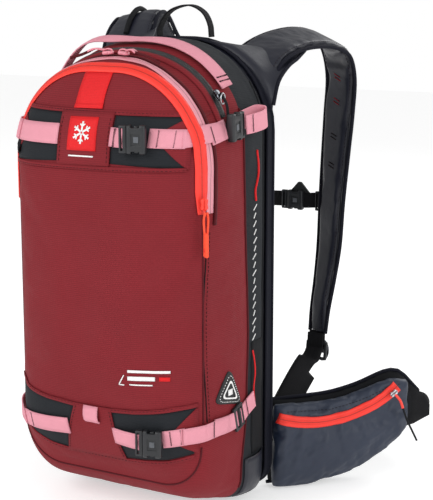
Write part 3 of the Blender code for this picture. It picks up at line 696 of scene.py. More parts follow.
FLAP = (-0.0360, 0.0330)  # the flap's left and right edges
WINDOWS = {  # a lower and an upper line of (x, z), from left to right
    "window_upper_left": ([(-0.118, 0.4145), (FLAP[0], 0.4195)], [(-0.112, 0.474), (FLAP[0], 0.4715)]),
    "window_upper_right": ([(FLAP[1], 0.4200), (0.112, 0.4165)], [(FLAP[1], 0.4725), (0.107, 0.471)]),
    "window_lower_left": ([(-0.107, 0.097), (-0.094, 0.090), (-0.070, 0.083), (-0.043, 0.0805)],
                          [(-0.112, 0.157), (-0.096, 0.150), (-0.060, 0.144), (-0.020, 0.1405)]),
    "window_lower_right": ([(0.035, 0.0815), (0.060, 0.084), (0.090, 0.088), (0.116, 0.096)],
                           [(0.029, 0.142), (0.060, 0.144), (0.090, 0.1465), (0.119, 0.150)])}
GUSSETS = {  # burgundy corners that narrow the windows towards the sides
    "gusset_upper_left": ([(-0.119, 0.413), (-0.088, 0.449)], [(-0.119, 0.478), (-0.088, 0.453)]),
    "gusset_upper_right": ([(0.082, 0.447), (0.114, 0.414)], [(0.082, 0.452), (0.114, 0.474)]),
    "gusset_lower_right": ([(0.096, 0.113), (0.120, 0.096)], [(0.096, 0.118), (0.120, 0.151)])}
HEMS = {  # a line along a window's edge, and the way its hem lies: 1 above it, -1 below
    "hem_upper_top": ([(-0.112, 0.4725), (0.109, 0.4705)], 1),
    "hem_upper_low": ([(-0.117, 0.4150), (0.112, 0.4175)], -1),
    "hem_lower_top": ([(-0.112, 0.1570), (-0.096, 0.1500), (-0.060, 0.1435), (-0.020, 0.1400),
                       (0.029, 0.1405), (0.060, 0.1430), (0.090, 0.1465), (0.120, 0.1505)], 1),
    "hem_lower_low": ([(-0.107, 0.0990), (-0.094, 0.0910), (-0.070, 0.0840), (-0.043, 0.0805),
                       (0.035, 0.0805), (0.060, 0.0830), (0.090, 0.0870), (0.116, 0.0950)], -1)}
RED_PATCHES = {  # a lower and an upper line, thickness and lift
    "front_stripe": ([(-0.0220, 0.4770), (0.0150, 0.4775)], [(-0.0220, 0.5150), (0.0140, 0.5155)],
                     0.0009, 0.0006),
    "front_stripe_hem": ([(-0.0222, 0.4768), (0.0152, 0.4773)], [(-0.0221, 0.4815), (0.0151, 0.4820)],
                         0.0006, 0.0015),
    "flap_patch": ([(-0.0225, 0.4320), (0.0160, 0.4325)], [(-0.0235, 0.4680), (0.0140, 0.4685)],
                   0.0006, 0.0026)}
HEM_WIDTH, HEM_SEAM = 0.0045, 0.0030
FLAKE_CENTRE, FLAKE_REACH = (-0.0045, 0.4515), 0.0120
FRONT_THREAD = 0.00028


def make_front():
    for name, (low, high) in WINDOWS.items():
        front_sheet(name, low, high, CHARCOAL, "black_fabric", 0.0003)
    for name, (low, high) in GUSSETS.items():
        front_sheet(name, low, high, BURGUNDY, "burgundy_fabric", 0.0010, lift=0.0008)
    front_sheet("flap_cloth", [(FLAP[0], 0.4160), (FLAP[1], 0.4170)],
                [(FLAP[0] - 0.001, 0.4735), (FLAP[1] - 0.001, 0.4745)], BURGUNDY, "burgundy_fabric", 0.0013,
                lift=0.0012, replaced=["center_flap"])
    front_sheet("flap_lower", [(-0.046, 0.078), (0.036, 0.079)], [(-0.0205, 0.1435), (0.0295, 0.1445)],
                BURGUNDY, "burgundy_fabric", 0.0012, lift=0.0010)
    for name, (line, way) in HEMS.items():
        other = [(x, z + way * HEM_WIDTH) for x, z in line]
        low, high = (line, other) if way > 0 else (other, line)
        front_sheet(name, low, high, BURGUNDY, "burgundy_fabric", 0.0011, lift=0.0007, columns=48)
    for name, (low, high, thickness, lift) in RED_PATCHES.items():
        front_sheet(name, low, high, RED, "red_fabric", thickness, lift=lift)


def sew_front():
    hems = [[(x, z + way * HEM_SEAM) for x, z in line] for line, way in HEMS.values()]
    flaps = [[(FLAP[0] + 0.003, 0.419), (FLAP[0] + 0.002, 0.470)],
             [(FLAP[1] - 0.003, 0.420), (FLAP[1] - 0.004, 0.471)],
             [(-0.0425, 0.081), (-0.0185, 0.141)], [(0.0335, 0.082), (0.0275, 0.142)]]
    for name, lines, lift in (("front_hem_stitches", hems, 0.0020), ("flap_stitches", flaps, 0.0028)):
        stitches(name, [front_line(line, lift) for line in lines], THREAD_DARK, "pack_body",
                 "burgundy_fabric", radius=FRONT_THREAD)


def snowflake():
    """Six branched arms, as printed bars."""
    bars = []
    for k in range(6):
        arm = math.radians(30 + 60 * k)
        c, s = math.cos(arm), math.sin(arm)
        bars.append(((0.0012 * c, 0.0012 * s), (FLAKE_REACH * c, FLAKE_REACH * s), 0.0022))
        root = (FLAKE_REACH * 0.55 * c, FLAKE_REACH * 0.55 * s)
        for turn in (-50, 50):
            branch = arm + math.radians(turn)
            tip = (root[0] + 0.0042 * math.cos(branch), root[1] + 0.0042 * math.sin(branch))
            bars.append((root, tip, 0.0015))
    return [((FLAKE_CENTRE[0] + a[0], FLAKE_CENTRE[1] + a[1]),
             (FLAKE_CENTRE[0] + b[0], FLAKE_CENTRE[1] + b[1]), w)
            for a, b, w in bars]


def print_front():
    print_lines("flap_snowflake", snowflake(), 0.0034)
    print_lines("flap_underline", [((-0.0200, 0.4262), (0.0130, 0.4266), 0.0016)], 0.0027)
    print_lines("panel_marks", [((0.056, 0.1930), (0.099, 0.1930), 0.0030),
                                ((0.056, 0.1850), (0.084, 0.1850), 0.0046),
                                ((0.058, 0.1780), (0.082, 0.1780), 0.0014),
                                ((0.0455, 0.1770), (0.0520, 0.1885), 0.0012),
                                ((0.0520, 0.1770), (0.0455, 0.1770), 0.0012)], 0.0006)
    print_lines("panel_mark_red", [((0.088, 0.1850), (0.099, 0.1850), 0.0046)], 0.0006, RED, "red_fabric")


def print_lines(name, segments, lift, look=WHITE, slot="burgundy_fabric"):
    """Flat printed bars on the front, each from one (x, z) to another with a width."""
    made = []
    for (x0, z0), (x1, z1), width in segments:
        length = math.hypot(x1 - x0, z1 - z0)
        ax, az = -(z1 - z0) / length * width / 2, (x1 - x0) / length * width / 2
        count = max(2, round(length / 0.004))
        made.append([[on_front(x0 + (x1 - x0) * i / count + ax * s, z0 + (z1 - z0) * i / count + az * s, lift)
                      for s in (-1, 0, 1)] for i in range(count + 1)])
    return sheets(name, made, look, "pack_body", slot, 0.0003, away=BODY_MIDDLE)


make_front()
sew_front()
print_front()


# Straps on the front and the sides

STRAP_HALF = 0.0100
WEB_THICK = 0.0016
TACK_HALF = 0.0088
FRONT_STRAP_LIFT, SIDE_STRAP_LIFT = 0.0026, 0.0030
ACROSS = (-1, -0.5, 0, 0.5, 1)
UNDER_ZIP = (0.0028, 0.0008, 0.0008, 0.0032, 0.0040)  # lifts of a strap that dips under the front zip


def strap_on_front(name, x_from, x_to, z_from, z_to, replaced, half=STRAP_HALF):
    """Level webbing on the front panel."""
    count = max(3, round(abs(x_to - x_from) / 0.004))
    rows = []
    for i in range(count + 1):
        t = i / count
        x, z = x_from + (x_to - x_from) * t, z_from + (z_to - z_from) * t
        rows.append([on_front(x, z + half * s, FRONT_STRAP_LIFT) for s in ACROSS])
    return sheets(name, [rows], PINK_WEB, "pack_body", "pink_webbing", WEB_THICK, replaced, away=BODY_MIDDLE)


def strap_on_side(name, side, path, replaced):
    """Webbing on a side through (y, z) points, with its edges across the run."""
    points = smooth_path([Vector((0, y, z)) for y, z in path], 6)
    rows = []
    for i, point in enumerate(points):
        ahead = points[min(i + 1, len(points) - 1)] - points[max(i - 1, 0)]
        normal = Vector((0, -ahead.z, ahead.y)).normalized() * STRAP_HALF
        rows.append([on_side(side, point.y + normal.y * s, point.z + normal.z * s, SIDE_STRAP_LIFT)
                     for s in ACROSS])
    return sheets(name, [rows], PINK_WEB, "pack_body", "pink_webbing", WEB_THICK, replaced, away=BODY_MIDDLE)


def corner_strap(name, side, z_front, z_side, y_end, x_start, half=STRAP_HALF, lifts=(0.0040,) * 5):
    """Webbing that turns round the seam between the front and a side."""
    rows = []
    stations = [(x_start, -0.12, 0.0), (0.121, -0.109, 0.35), (0.127, -0.103, 0.6), (0.1285, -0.098, 0.75),
                (0.1288, y_end, 1.0)]
    centre = Vector((0, -0.060, 0))
    for (x, y, t), lift in zip(stations, lifts):
        z = z_front + (z_side - z_front) * t
        row = []
        for s in ACROSS:
            origin = Vector((side * x, y, z + half * s))
            out = Vector((side * x * (0.2 + 0.8 * t), y - centre.y if t < 0.9 else 0, 0)).normalized()
            row.append(land(SKIN, origin + out * 0.10, -out, lift))
        rows.append(row)
    rows = list(zip(*[smooth_path(line, 4) for line in zip(*rows)]))
    return sheets(name, [rows], PINK_WEB, "pack_body", "pink_webbing", WEB_THICK, away=BODY_MIDDLE)


def make_lashing():
    for place, x_from, x_to, z_from, z_to, half in (
            ("upper_left", -0.110, -0.0365, 0.4475, 0.4485, 0.0110),
            ("upper_right", 0.0755, 0.110, 0.4485, 0.4475, STRAP_HALF),
            ("lower_left", -0.106, -0.0320, 0.1085, 0.1135, STRAP_HALF),
            ("lower_right", 0.090, 0.111, 0.1155, 0.1185, STRAP_HALF)):
        strap_on_front("strap_" + place, x_from, x_to, z_from, z_to, ["front_strap_" + place], half)
    corner_strap("strap_corner_upper_right", 1, 0.4475, 0.4530, -0.064, 0.108, 0.0095, UNDER_ZIP)
    corner_strap("strap_corner_upper_left", -1, 0.4475, 0.4490, -0.080, 0.108, 0.0110)
    corner_strap("strap_corner_lower_right", 1, 0.1185, 0.1210, -0.062, 0.109, 0.0095)
    corner_strap("strap_corner_lower_left", -1, 0.1085, 0.1180, -0.080, 0.104)
    for place, side, path in (
            ("upper_right", 1, [(-0.089, 0.449), (-0.057, 0.4545)]),
            ("upper_left", -1, [(-0.088, 0.449), (-0.050, 0.453), (-0.022, 0.457)]),
            ("lower_right", 1, [(-0.088, 0.1215), (-0.066, 0.1205), (-0.046, 0.1205)]),
            ("lower_left", -1, [(-0.088, 0.119), (-0.050, 0.122), (-0.022, 0.124)])):
        strap_on_side("strap_side_" + place, side, path, ["side_strap_" + place])
    spans = []
    for x, z in ((0.0855, 0.4485), (0.1010, 0.448), (-0.1095, 0.4475), (0.0990, 0.117), (0.1080, 0.118),
                 (-0.0900, 0.1095)):
        low, high = (on_front(x, z + way * TACK_HALF, 0.0046) for way in (-1, 1))
        spans.append((low, high, (1, 0, 0)))
    for side, y, z, lift in ((1, -0.0860, 0.4505, 0.0062), (-1, -0.090, 0.4490, 0.0050),
                             (-1, -0.040, 0.455, 0.0050), (1, -0.092, 0.1212, 0.0062),
                             (-1, -0.060, 0.1205, 0.0050)):
        low, high = (on_side(side, y, z + way * TACK_HALF, lift) for way in (-1, 1))
        spans.append((low, high, (0, 1, 0)))
    bar_tack("strap_bar_tacks", spans, THREAD_DARK, "pack_body", "pink_webbing")
    tuck = [[on_front(x + 0.10 * (z - 0.43), z, 0.0022 + 0.002 * math.sin((x + z) * 300))
             for x in (-0.112, -0.108, -0.104)] for z in np.linspace(0.421, 0.437, 6)]
    sheets("strap_tuck_left", [tuck], BLACK_WEB, "pack_body", "black_webbing", 0.0014, away=BODY_MIDDLE)
    loop_rows = []
    for z, lift in ((0.1440, 0.0022), (0.1390, 0.0044), (0.1330, 0.0056), (0.1275, 0.0052), (0.1250, 0.0034),
                    (0.1262, 0.0016), (0.1330, 0.0012)):
        loop_rows.append([on_front(x, z, lift) for x in (-0.0065, -0.002, 0.003, 0.0080, 0.0130)])
    sheets("tool_loop", [loop_rows], PINK_WEB, "pack_body", "pink_webbing", 0.0012, away=BODY_MIDDLE)


make_lashing()


# Zips over the arch

def arch_stations(y, z_right, z_left, start=0.0, end=180.0, step=0.006):
    """Places over the arch at a depth, as (x, z, outward x, outward z), from the right to the left."""
    half, _, top, _ = section(y)
    cx, cz = half - TOP_RADIUS, top - TOP_RADIUS
    stations = []
    if z_right is not None:
        count = max(1, round((cz - z_right) / step))
        stations += [(half, z_right + (cz - z_right) * i / count, 1.0, 0.0) for i in range(count)]
    turns = np.arange(start, 90.01, math.degrees(step / TOP_RADIUS))
    stations += [(cx + TOP_RADIUS * math.cos(a), cz + TOP_RADIUS * math.sin(a), math.cos(a), math.sin(a))
                 for a in np.radians(turns)]
    stations += [(cx - 2 * cx * i / 6, top, 0.0, 1.0) for i in range(1, 6)]
    turns = np.arange(90, end + 0.01, math.degrees(step / TOP_RADIUS))
    stations += [(-cx + TOP_RADIUS * math.cos(a), cz + TOP_RADIUS * math.sin(a), math.cos(a), math.sin(a))
                 for a in np.radians(turns)]
    if z_left is not None:
        count = max(1, round((cz - z_left) / step))
        stations += [(-half, cz + (z_left - cz) * i / count, -1.0, 0.0) for i in range(1, count + 1)]
    return stations


def arch_band(name, depth, offsets, lifts, look, slot, z_right=None, z_left=None, start=0.0, end=180.0,
              thickness=0.0010, replaced=(), rise=None):
    """A tape over the arch. depth(x, z) gives its middle; offsets across it each have their own lift."""
    rows = []
    for x, z, nx, nz in arch_stations(-0.06, z_right, z_left, start, end):
        y = depth(x, z)
        row = []
        for offset, lift in zip(offsets, lifts):
            _, _, top, _ = section(y + offset)
            out = Vector((nx, 0, nz))
            height = z + (top - section(-0.06)[2]) * nz
            origin = Vector((x, y + offset, height)) + out * 0.05
            row.append(land(SKIN, origin, -out, lift + (rise(x, z) if rise else 0.0)))
        rows.append(row)
    return sheets(name, [rows], look, "pack_body", slot, thickness, replaced, away=BODY_MIDDLE)


def seam_band(name, offsets, lifts, look, slot, z_end, replaced=()):
    """A tape along the slope round the front panel, passing over the upper strap on the right."""
    rows = []
    for x, z, nx, nz in arch_stations(SEAM_Y, z_end, z_end):
        base = Vector((x - nx * 0.0035, SEAM_Y, z - nz * 0.0035))
        out = Vector((nx * SLOPE_OUT, -SLOPE_FRONT, nz * SLOPE_OUT))
        along = -Vector((nx * SLOPE_FRONT, SLOPE_OUT, nz * SLOPE_FRONT))
        over_strap = 0.0028 * math.exp(-((z - 0.4495) / 0.0145) ** 4) * (x > 0)
        narrow = min(1.0, 0.60 + (z - z_end) / 0.06)
        rows.append([land(SKIN, base + along * offset * narrow + out * 0.04, -out, lift + over_strap)
                     for offset, lift in zip(offsets, lifts)])
    return sheets(name, [rows], look, "pack_body", slot, 0.0010, replaced, away=BODY_MIDDLE)


TAPE = (-0.0052, -0.0034, -0.0014, 0.0, 0.0014, 0.0034, 0.0052)
TAPE_LIFT = (0.0004, 0.0007, 0.0012, 0.0008, 0.0012, 0.0007, 0.0004)


def main_depth(x, z):
    """The main zip keeps near the front seam on the sides and runs further back over the top."""
    over_top = min(1.0, max(0.0, (0.085 - abs(x)) / 0.06))
    return -0.0925 + 0.0095 * over_top * (3 - 2 * over_top) * over_top


def make_zips():
    wide = [s * 1.42 for s in TAPE]
    seam_band("front_zip_tape", wide, [lift + 0.0003 for lift in TAPE_LIFT], RED_ZIP, "red_zip", 0.366,
              replaced=["front_zip"])
    arch_band("main_zip_tape", main_depth, TAPE, TAPE_LIFT, PINK_ZIP, "pink_zip", 0.366, 0.366,
              replaced=["main_zip"])
    arch_band("top_zip_tape", lambda x, z: -0.054, [s * 0.95 for s in TAPE], TAPE_LIFT, BLACK_ZIP,
              "black_zip", start=22, end=152, replaced=["top_zip"])
    arch_band("top_zip_garage", lambda x, z: -0.0635, (-0.0028, 0.0, 0.0035), (0.0006, 0.0022, 0.0020),
              BURGUNDY, "burgundy_fabric", start=14, end=158, thickness=0.0008)
    arch_band("main_zip_garage", lambda x, z: main_depth(x, z) + 0.0085, (-0.0024, 0.0, 0.0032),
              (0.0016, 0.0020, 0.0004), BURGUNDY_DARK, "burgundy_fabric", 0.352, 0.352, thickness=0.0008)

    def rise(x, z):
        return 0.009 * math.exp(-((x + 0.070) / 0.030) ** 2)

    tack = []
    for turn in (44.0, 46.5):
        a = math.radians(turn)
        out = Vector((math.cos(a), 0, math.sin(a)))
        ends = [land(SKIN, Vector((0.0185, y, 0.418)) + out * 0.16, -out, 0.0066) for y in (-0.0395, -0.0205)]
        tack.append((*ends, tuple(out.cross(Vector((0, 1, 0))))))
    bar_tack("top_strap_tacks", tack, THREAD_DARK, "pack_body", "pink_webbing")
    arch_band("top_strap_webbing", lambda x, z: -0.030 - 0.002 * (x < 0), [s * STRAP_HALF for s in ACROSS],
              (0.0045,) * 5, PINK_WEB, "pink_webbing", start=36, end=151, thickness=WEB_THICK,
              replaced=["top_strap"], rise=rise)


make_zips()


# Small hard pieces

LASHING_BUCKLE = (0.031, 0.021, 0.009)  # width, length and height of a housing
CHEST_BUCKLE = (0.026, 0.022, 0.008)
HIP_BUCKLE = (0.044, 0.040, 0.012)
SLIDER_SIZE = (0.014, 0.009, 0.0042)


def block(size, centre=(0, 0, 0), bevel=0.0, segments=2):
    """A temporary box for building a hard piece."""
    data = bpy.data.meshes.new("block")
    work = bmesh.new()
    bmesh.ops.create_cube(work, size=1, matrix=Matrix.Translation(centre) @ Matrix.Diagonal((*size, 1)))
    if bevel:
        bmesh.ops.bevel(work, geom=work.edges[:], offset=bevel, segments=segments, profile=0.5,
                        affect="EDGES")
    work.to_mesh(data)
    work.free()
    obj = bpy.data.objects.new("block", data)
    bpy.context.scene.collection.objects.link(obj)
    return obj


def carve(obj, *cutters, operation="DIFFERENCE"):
    """Takes temporary solids out of another, or joins them to it."""
    for cutter in cutters:
        boolean = obj.modifiers.new("Shape", "BOOLEAN")
        boolean.operation = operation
        boolean.object = cutter
        boolean.solver = "EXACT"
    apply_modifiers(obj)
    for cutter in cutters:
        bpy.data.objects.remove(cutter)
    return obj


def finish_hard(obj, name, matrix, look, body, slot, replaced=(), edge=0.0003):
    """Softens the sharp edges of a temporary solid and makes it a piece."""
    bevel = obj.modifiers.new("Edges", "BEVEL")
    bevel.width = edge
    bevel.segments = 2
    bevel.limit_method = "ANGLE"
    bevel.angle_limit = math.radians(40)
    apply_modifiers(obj)
    obj.data.transform(matrix)
    obj.data.shade_smooth()
    obj.data.set_sharp_from_angle(angle=math.radians(35))
    obj.name = obj.data.name = name
    return dress(obj, look, body, slot, replaced)


def local(origin, along, across):
    """A local frame: X along, Y across, Z out of the plane."""
    x = Vector(along).normalized()
    z = x.cross(Vector(across)).normalized()
    return Matrix.Translation(origin) @ Matrix((x, z.cross(x), z)).transposed().to_4x4()


def buckle(name, matrix, size, female_body, male_body, male_matrix=None):
    """A side-release buckle: housing with side windows, and a male half with prongs and a webbing slot."""
    width, length, height = size
    housing = block((length, width, height), (length / 2, 0, 0), height * 0.24, 3)
    carve(housing,
          block((length * 0.46, width * 0.20, height * 2), (length * 0.47, width * 0.5, 0), height * 0.12),
          block((length * 0.46, width * 0.20, height * 2), (length * 0.47, -width * 0.5, 0), height * 0.12),
          block((length * 0.52, width * 0.42, height * 0.2), (length * 0.52, 0, height * 0.5)),
          block((length * 0.5, width * 0.74, height * 0.46), (0, 0, 0)))
    raised = block((length * 0.30, width * 0.24, height * 0.10), (length * 0.52, 0, height * 0.40), 0.0003)
    carve(housing, raised, operation="UNION")
    plate = block((length * 0.26, width * 0.20, height * 0.10), (length * 0.52, 0, height * 0.43), 0.0002)
    finish_hard(plate, name + "_inset", matrix, PALE_PLASTIC, female_body, "black_plastic")
    finish_hard(housing, name + "_housing", matrix, PLASTIC, female_body, "black_plastic", [name + "_female"])
    bar = block((length * 0.42, width * 0.96, height * 0.5), (-length * 0.215, 0, 0), height * 0.14)
    carve(bar, block((length * 0.13, width * 0.78, height), (-length * 0.26, 0, 0)))
    prong, barb = (length * 0.72, width * 0.11, height * 0.38), (length * 0.22, width * 0.12, height * 0.42)
    prongs = [block(prong, (length * 0.34, side * width * 0.33, 0), 0.0006) for side in (-1, 1)]
    prongs += [block(barb, (length * 0.50, side * width * 0.40, 0), 0.0008) for side in (-1, 1)]
    carve(bar, *prongs, block((length * 0.60, width * 0.20, height * 0.34), (length * 0.28, 0, 0), 0.0006),
          operation="UNION")
    finish_hard(bar, name + "_clip", male_matrix or matrix, PLASTIC, male_body, "black_plastic",
                [name + "_male"])


def ladder(name, matrix, width, length, height, body, replaced):
    """A flat adjuster with a raised middle bar between two webbing slots."""
    frame_block = block((length, width, height), (0, 0, 0), height * 0.3)
    carve(frame_block,
          block((length * 0.24, width * 0.76, height * 3), (-length * 0.22, 0, 0)),
          block((length * 0.24, width * 0.76, height * 3), (length * 0.22, 0, 0)))
    carve(frame_block, block((length * 0.16, width * 0.8, height * 1.1), (0, 0, height * 0.4), height * 0.2),
          operation="UNION")
    finish_hard(frame_block, name, matrix, PLASTIC, body, "black_plastic", replaced)


def slider(name, matrix, look, slot, node, size=SLIDER_SIZE):
    """A zip slider on a body of its node's name: waisted, with a bridge over it."""
    length, width, height = size
    rings = []
    for t in np.linspace(-1, 1, 9):
        half = width / 2 * (1 - 0.22 * math.exp(-(t / 0.35) ** 2)) * math.sqrt(max(0.05, 1 - abs(t) ** 6))
        rise = height / 2 * math.sqrt(max(0.1, 1 - abs(t) ** 5))
        rings.append([(length / 2 * t, half * math.copysign(abs(math.cos(a)) ** 0.5, math.cos(a)),
                       rise * math.copysign(abs(math.sin(a)) ** 0.5, math.sin(a)))
                      for a in np.linspace(0, math.tau, 16, endpoint=False)])
    obj = loft_mesh(name, rings)
    obj.data.transform(matrix)
    obj.data.shade_smooth()
    dress(obj, look, node, slot, [node])
    bridge = [matrix @ Vector((length * 0.42 * math.cos(a), 0, height * 0.4 + height * 0.62 * math.sin(a)))
              for a in np.linspace(0, math.pi, 12)]
    tube(name + "_bridge", bridge, 0.0009, look, node, slot)


def cord_pull(name, points, look, body, slot, radius):
    """A cord through a few points."""
    return tube(name, smooth_path(points, 5), radius, look, body, slot)


def make_buckles():
    for name, body in (("front_buckle_upper", "front_clip_upper"),
                       ("front_buckle_lower", "front_clip_lower")):
        low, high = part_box(name + "_female")
        z = (low.z + high.z) / 2
        joint = next(j for j in frame["joints"] if j["child"] == body)
        along = -Vector(joint["axis"])
        mouth = Vector((0.0575, -0.14934, z) if "upper" in name else (0.073, -0.14769, z))
        buckle(name, local(mouth, along, (0, 0, 1)), LASHING_BUCKLE, "pack_body", body)
    mouth = Vector((0.13358, -0.040, 0.457))
    buckle("side_buckle", local(mouth, (0, -1, -0.08), (0, 0.08, -1)), LASHING_BUCKLE, "pack_body",
           "side_clip")
    side = local(Vector((0.1335, -0.040, 0.122)), (0, 1, 0.3), (0, -0.3, 1))
    ladder("side_ladder_adjuster", side, 0.030, 0.020, 0.0040, "pack_body", ["side_ladder_lock"])
    chest = Vector((0.048, 0.2488, 0.329))
    buckle("sternum_buckle", local(chest, (1, 0, 0), (0, 0, 1)), CHEST_BUCKLE, "sternum_strap",
           "sternum_clip")
    male = local(Vector((0.150, 0.2950, 0.042)), (-1, 0, 0), (0, 0, 1))
    female = local(Vector((-0.145, 0.2950, 0.042)), (-1, 0, 0), (0, 0, 1))
    buckle("hip_buckle", female, HIP_BUCKLE, "hip_wing_left", "hip_wing_right", male)


make_buckles()


def make_loose_webbing():
    """Short runs between the flaps and the clips, and the folded ends behind the side adjusters."""
    def stub(name, start, end, lift_start, lift_end, arch):
        rows = []
        for i in range(9):
            t = i / 8
            x, z = start[0] + (end[0] - start[0]) * t, start[1] + (end[1] - start[1]) * t
            lift = lift_start + (lift_end - lift_start) * t + arch * math.sin(math.pi * t)
            rows.append([on_front(x, z + STRAP_HALF * s, lift) for s in ACROSS])
        piece = sheets(name, [rows], PINK_WEB, None, "pink_webbing", 0.0014, away=BODY_MIDDLE)
        apply_modifiers(piece)
        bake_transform(piece)

    stub("strap_upper_clip_end", (0.0315, 0.4485), (0.0530, 0.4480), 0.0012, 0.0090, 0.0)
    stub("strap_lower_clip_end", (0.0290, 0.1120), (0.0690, 0.1120), 0.0012, 0.0090,
         0.001)
    spans = [(on_front(0.0385 + d, 0.4390, 0.0056), on_front(0.0385 + d, 0.4580, 0.0056), (1, 0, 0))
             for d in (-0.0008, 0.0008)]
    bar_tack("strap_clip_tack", spans, THREAD_DARK, "pack_body", "pink_webbing")
    skin_x = on_side(1, 0.0, 0.455, 0).x
    turn = [(skin_x + dx, y, z) for dx, y, z in (
        (0.0070, -0.047, 0.4590), (0.0040, -0.030, 0.4610), (0.0020, -0.005, 0.4640), (0.0028, 0.010, 0.4655),
        (0.0095, 0.0175, 0.4640), (0.0150, 0.007, 0.4610), (0.0150, -0.015, 0.4585),
        (0.0110, -0.031, 0.4570))]
    ribbon("strap_side_folded_end", smooth_path(turn, 5), Vector((0, -0.16, 1)), 0.0215, 0.0016, PINK_WEB,
           "side_clip", "pink_webbing")
    span = ((skin_x + 0.0153, -0.0205, 0.4490), (skin_x + 0.0150, -0.0225, 0.4680), (0, 1, 0))
    bar_tack("strap_side_folded_tack", [span], THREAD_DARK, "side_clip", "pink_webbing")
    skin_x = on_side(1, -0.02, 0.125, 0).x
    low = [(skin_x + dx, y, z) for dx, y, z in (
        (0.0045, -0.046, 0.120), (0.0060, -0.034, 0.1215), (0.0030, -0.020, 0.1245), (0.0026, -0.006, 0.1290),
        (0.0034, 0.002, 0.1325))]
    ribbon("strap_side_tail", smooth_path(low, 4), Vector((0, -0.30, 1)), 0.0205, 0.0016, PINK_WEB,
           "pack_body", "pink_webbing")
    span = ((skin_x + 0.0042, -0.013, 0.1165), (skin_x + 0.0042, -0.020, 0.1375), (0, 1, 0))
    bar_tack("strap_side_tail_tack", [span], THREAD_DARK, "pack_body", "pink_webbing")


make_loose_webbing()


def middle_of(node):
    low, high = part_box(node)
    return (low + high) / 2


def make_front_pull():
    out = Vector((SLOPE_OUT, -SLOPE_FRONT, 0))
    seat = middle_of("front_zip_slider") + Vector((0.0006, -0.0004, 0))
    slider("front_slider", local(seat, (0, 0, 1), (-SLOPE_FRONT, -SLOPE_OUT, 0)), RED_PLASTIC, "red_zip",
           "front_zip_slider")
    root = middle_of("front_zip_pull")
    root.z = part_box("front_zip_pull")[1].z
    turn = Matrix.Rotation(math.radians(-35), 4, "Z")
    tab = block((0.0088, 0.0042, 0.0270), (0, 0, 0), 0.0020, 3)
    for v in tab.data.vertices:
        v.co.x *= 1.0 - 9.0 * max(0.0, v.co.z)
    finish_hard(tab, "front_pull_tab", Matrix.Translation(root + Vector((0, 0, -0.0360))) @ turn, ORANGE,
                "front_zip_pull", "orange_cord", ["front_zip_pull"])
    grip = block((0.0052, 0.0046, 0.0050), (0, 0, 0), 0.0008)
    finish_hard(grip, "front_pull_window", Matrix.Translation(root + Vector((0, 0, -0.0415))) @ turn,
                RED_PLASTIC, "front_zip_pull", "orange_cord")
    side = out.cross(Vector((0, 0, 1)))
    cord = [root + out * 0.0008 + side * 0.0012, root + Vector((0, 0, -0.009)) + side * 0.0026,
            root + Vector((0, 0, -0.026)) + side * 0.0012, root + Vector((0, 0, -0.026)) - side * 0.0012,
            root + Vector((0, 0, -0.009)) - side * 0.0026, root + out * 0.0008 - side * 0.0012]
    cord_pull("front_pull_cord", cord, ORANGE, "front_zip_pull", "orange_cord", 0.0013)


def make_arch_pulls():
    for way, side_name in SIDES:
        node = "main_zip_slider_" + side_name
        spot = middle_of(node)
        seat = local(spot + Vector((0, 0, 0.0006)), (1, 0, -0.1 * way), (0, 1, 0))
        slider("main_slider_" + side_name, seat, PINK_PLASTIC, "pink_zip", node)
        pull = [spot + Vector((way * 0.004, 0, 0.0036)), spot + Vector((way * 0.014, -0.004, 0.0050)),
                spot + Vector((way * 0.021, -0.007, 0.0020))]
        ribbon("main_pull_" + side_name, smooth_path(pull, 4), Vector((0, 1, 0)), 0.0062, 0.0018,
               PINK_PLASTIC, node, "pink_zip")
        drop = 0.0 if way > 0 else 0.0025
        tail = [spot + Vector((way * 0.019, -0.007, 0.0026)),
                spot + Vector((way * 0.030, -0.010, 0.0004 - drop)),
                spot + Vector((way * 0.043, -0.012, -0.0030 - drop)),
                spot + Vector((way * 0.054, -0.011, -0.0085))]
        if way < 0:
            tail = tail[:3]
        cord_pull("main_cord_" + side_name, tail, BURGUNDY_DARK, node, "burgundy_fabric", 0.0016)
    spot = middle_of("top_zip_slider")
    slider("top_slider", local(spot, (-0.56, 0, 0.83), (0, 1, 0)), GUNMETAL, "bright_steel", "top_zip_slider")
    tail = [spot + Vector((0.003, 0, 0.002)), spot + Vector((0.012, -0.002, -0.010)),
            spot + Vector((0.014, -0.003, -0.026)), spot + Vector((0.013, -0.004, -0.040))]
    cord_pull("top_slider_cord", tail, BLACK, "top_zip_slider", "black_webbing", 0.0016)
    ring = [spot + Vector((0.006, 0.0045 * math.cos(a), -0.004 + 0.0060 * math.sin(a)))
            for a in np.linspace(0, math.tau, 14, endpoint=False)]
    tube("top_slider_ring", ring, 0.0008, STEEL, "top_zip_slider", "bright_steel", cyclic=True)


make_front_pull()
make_arch_pulls()


# Side and band details

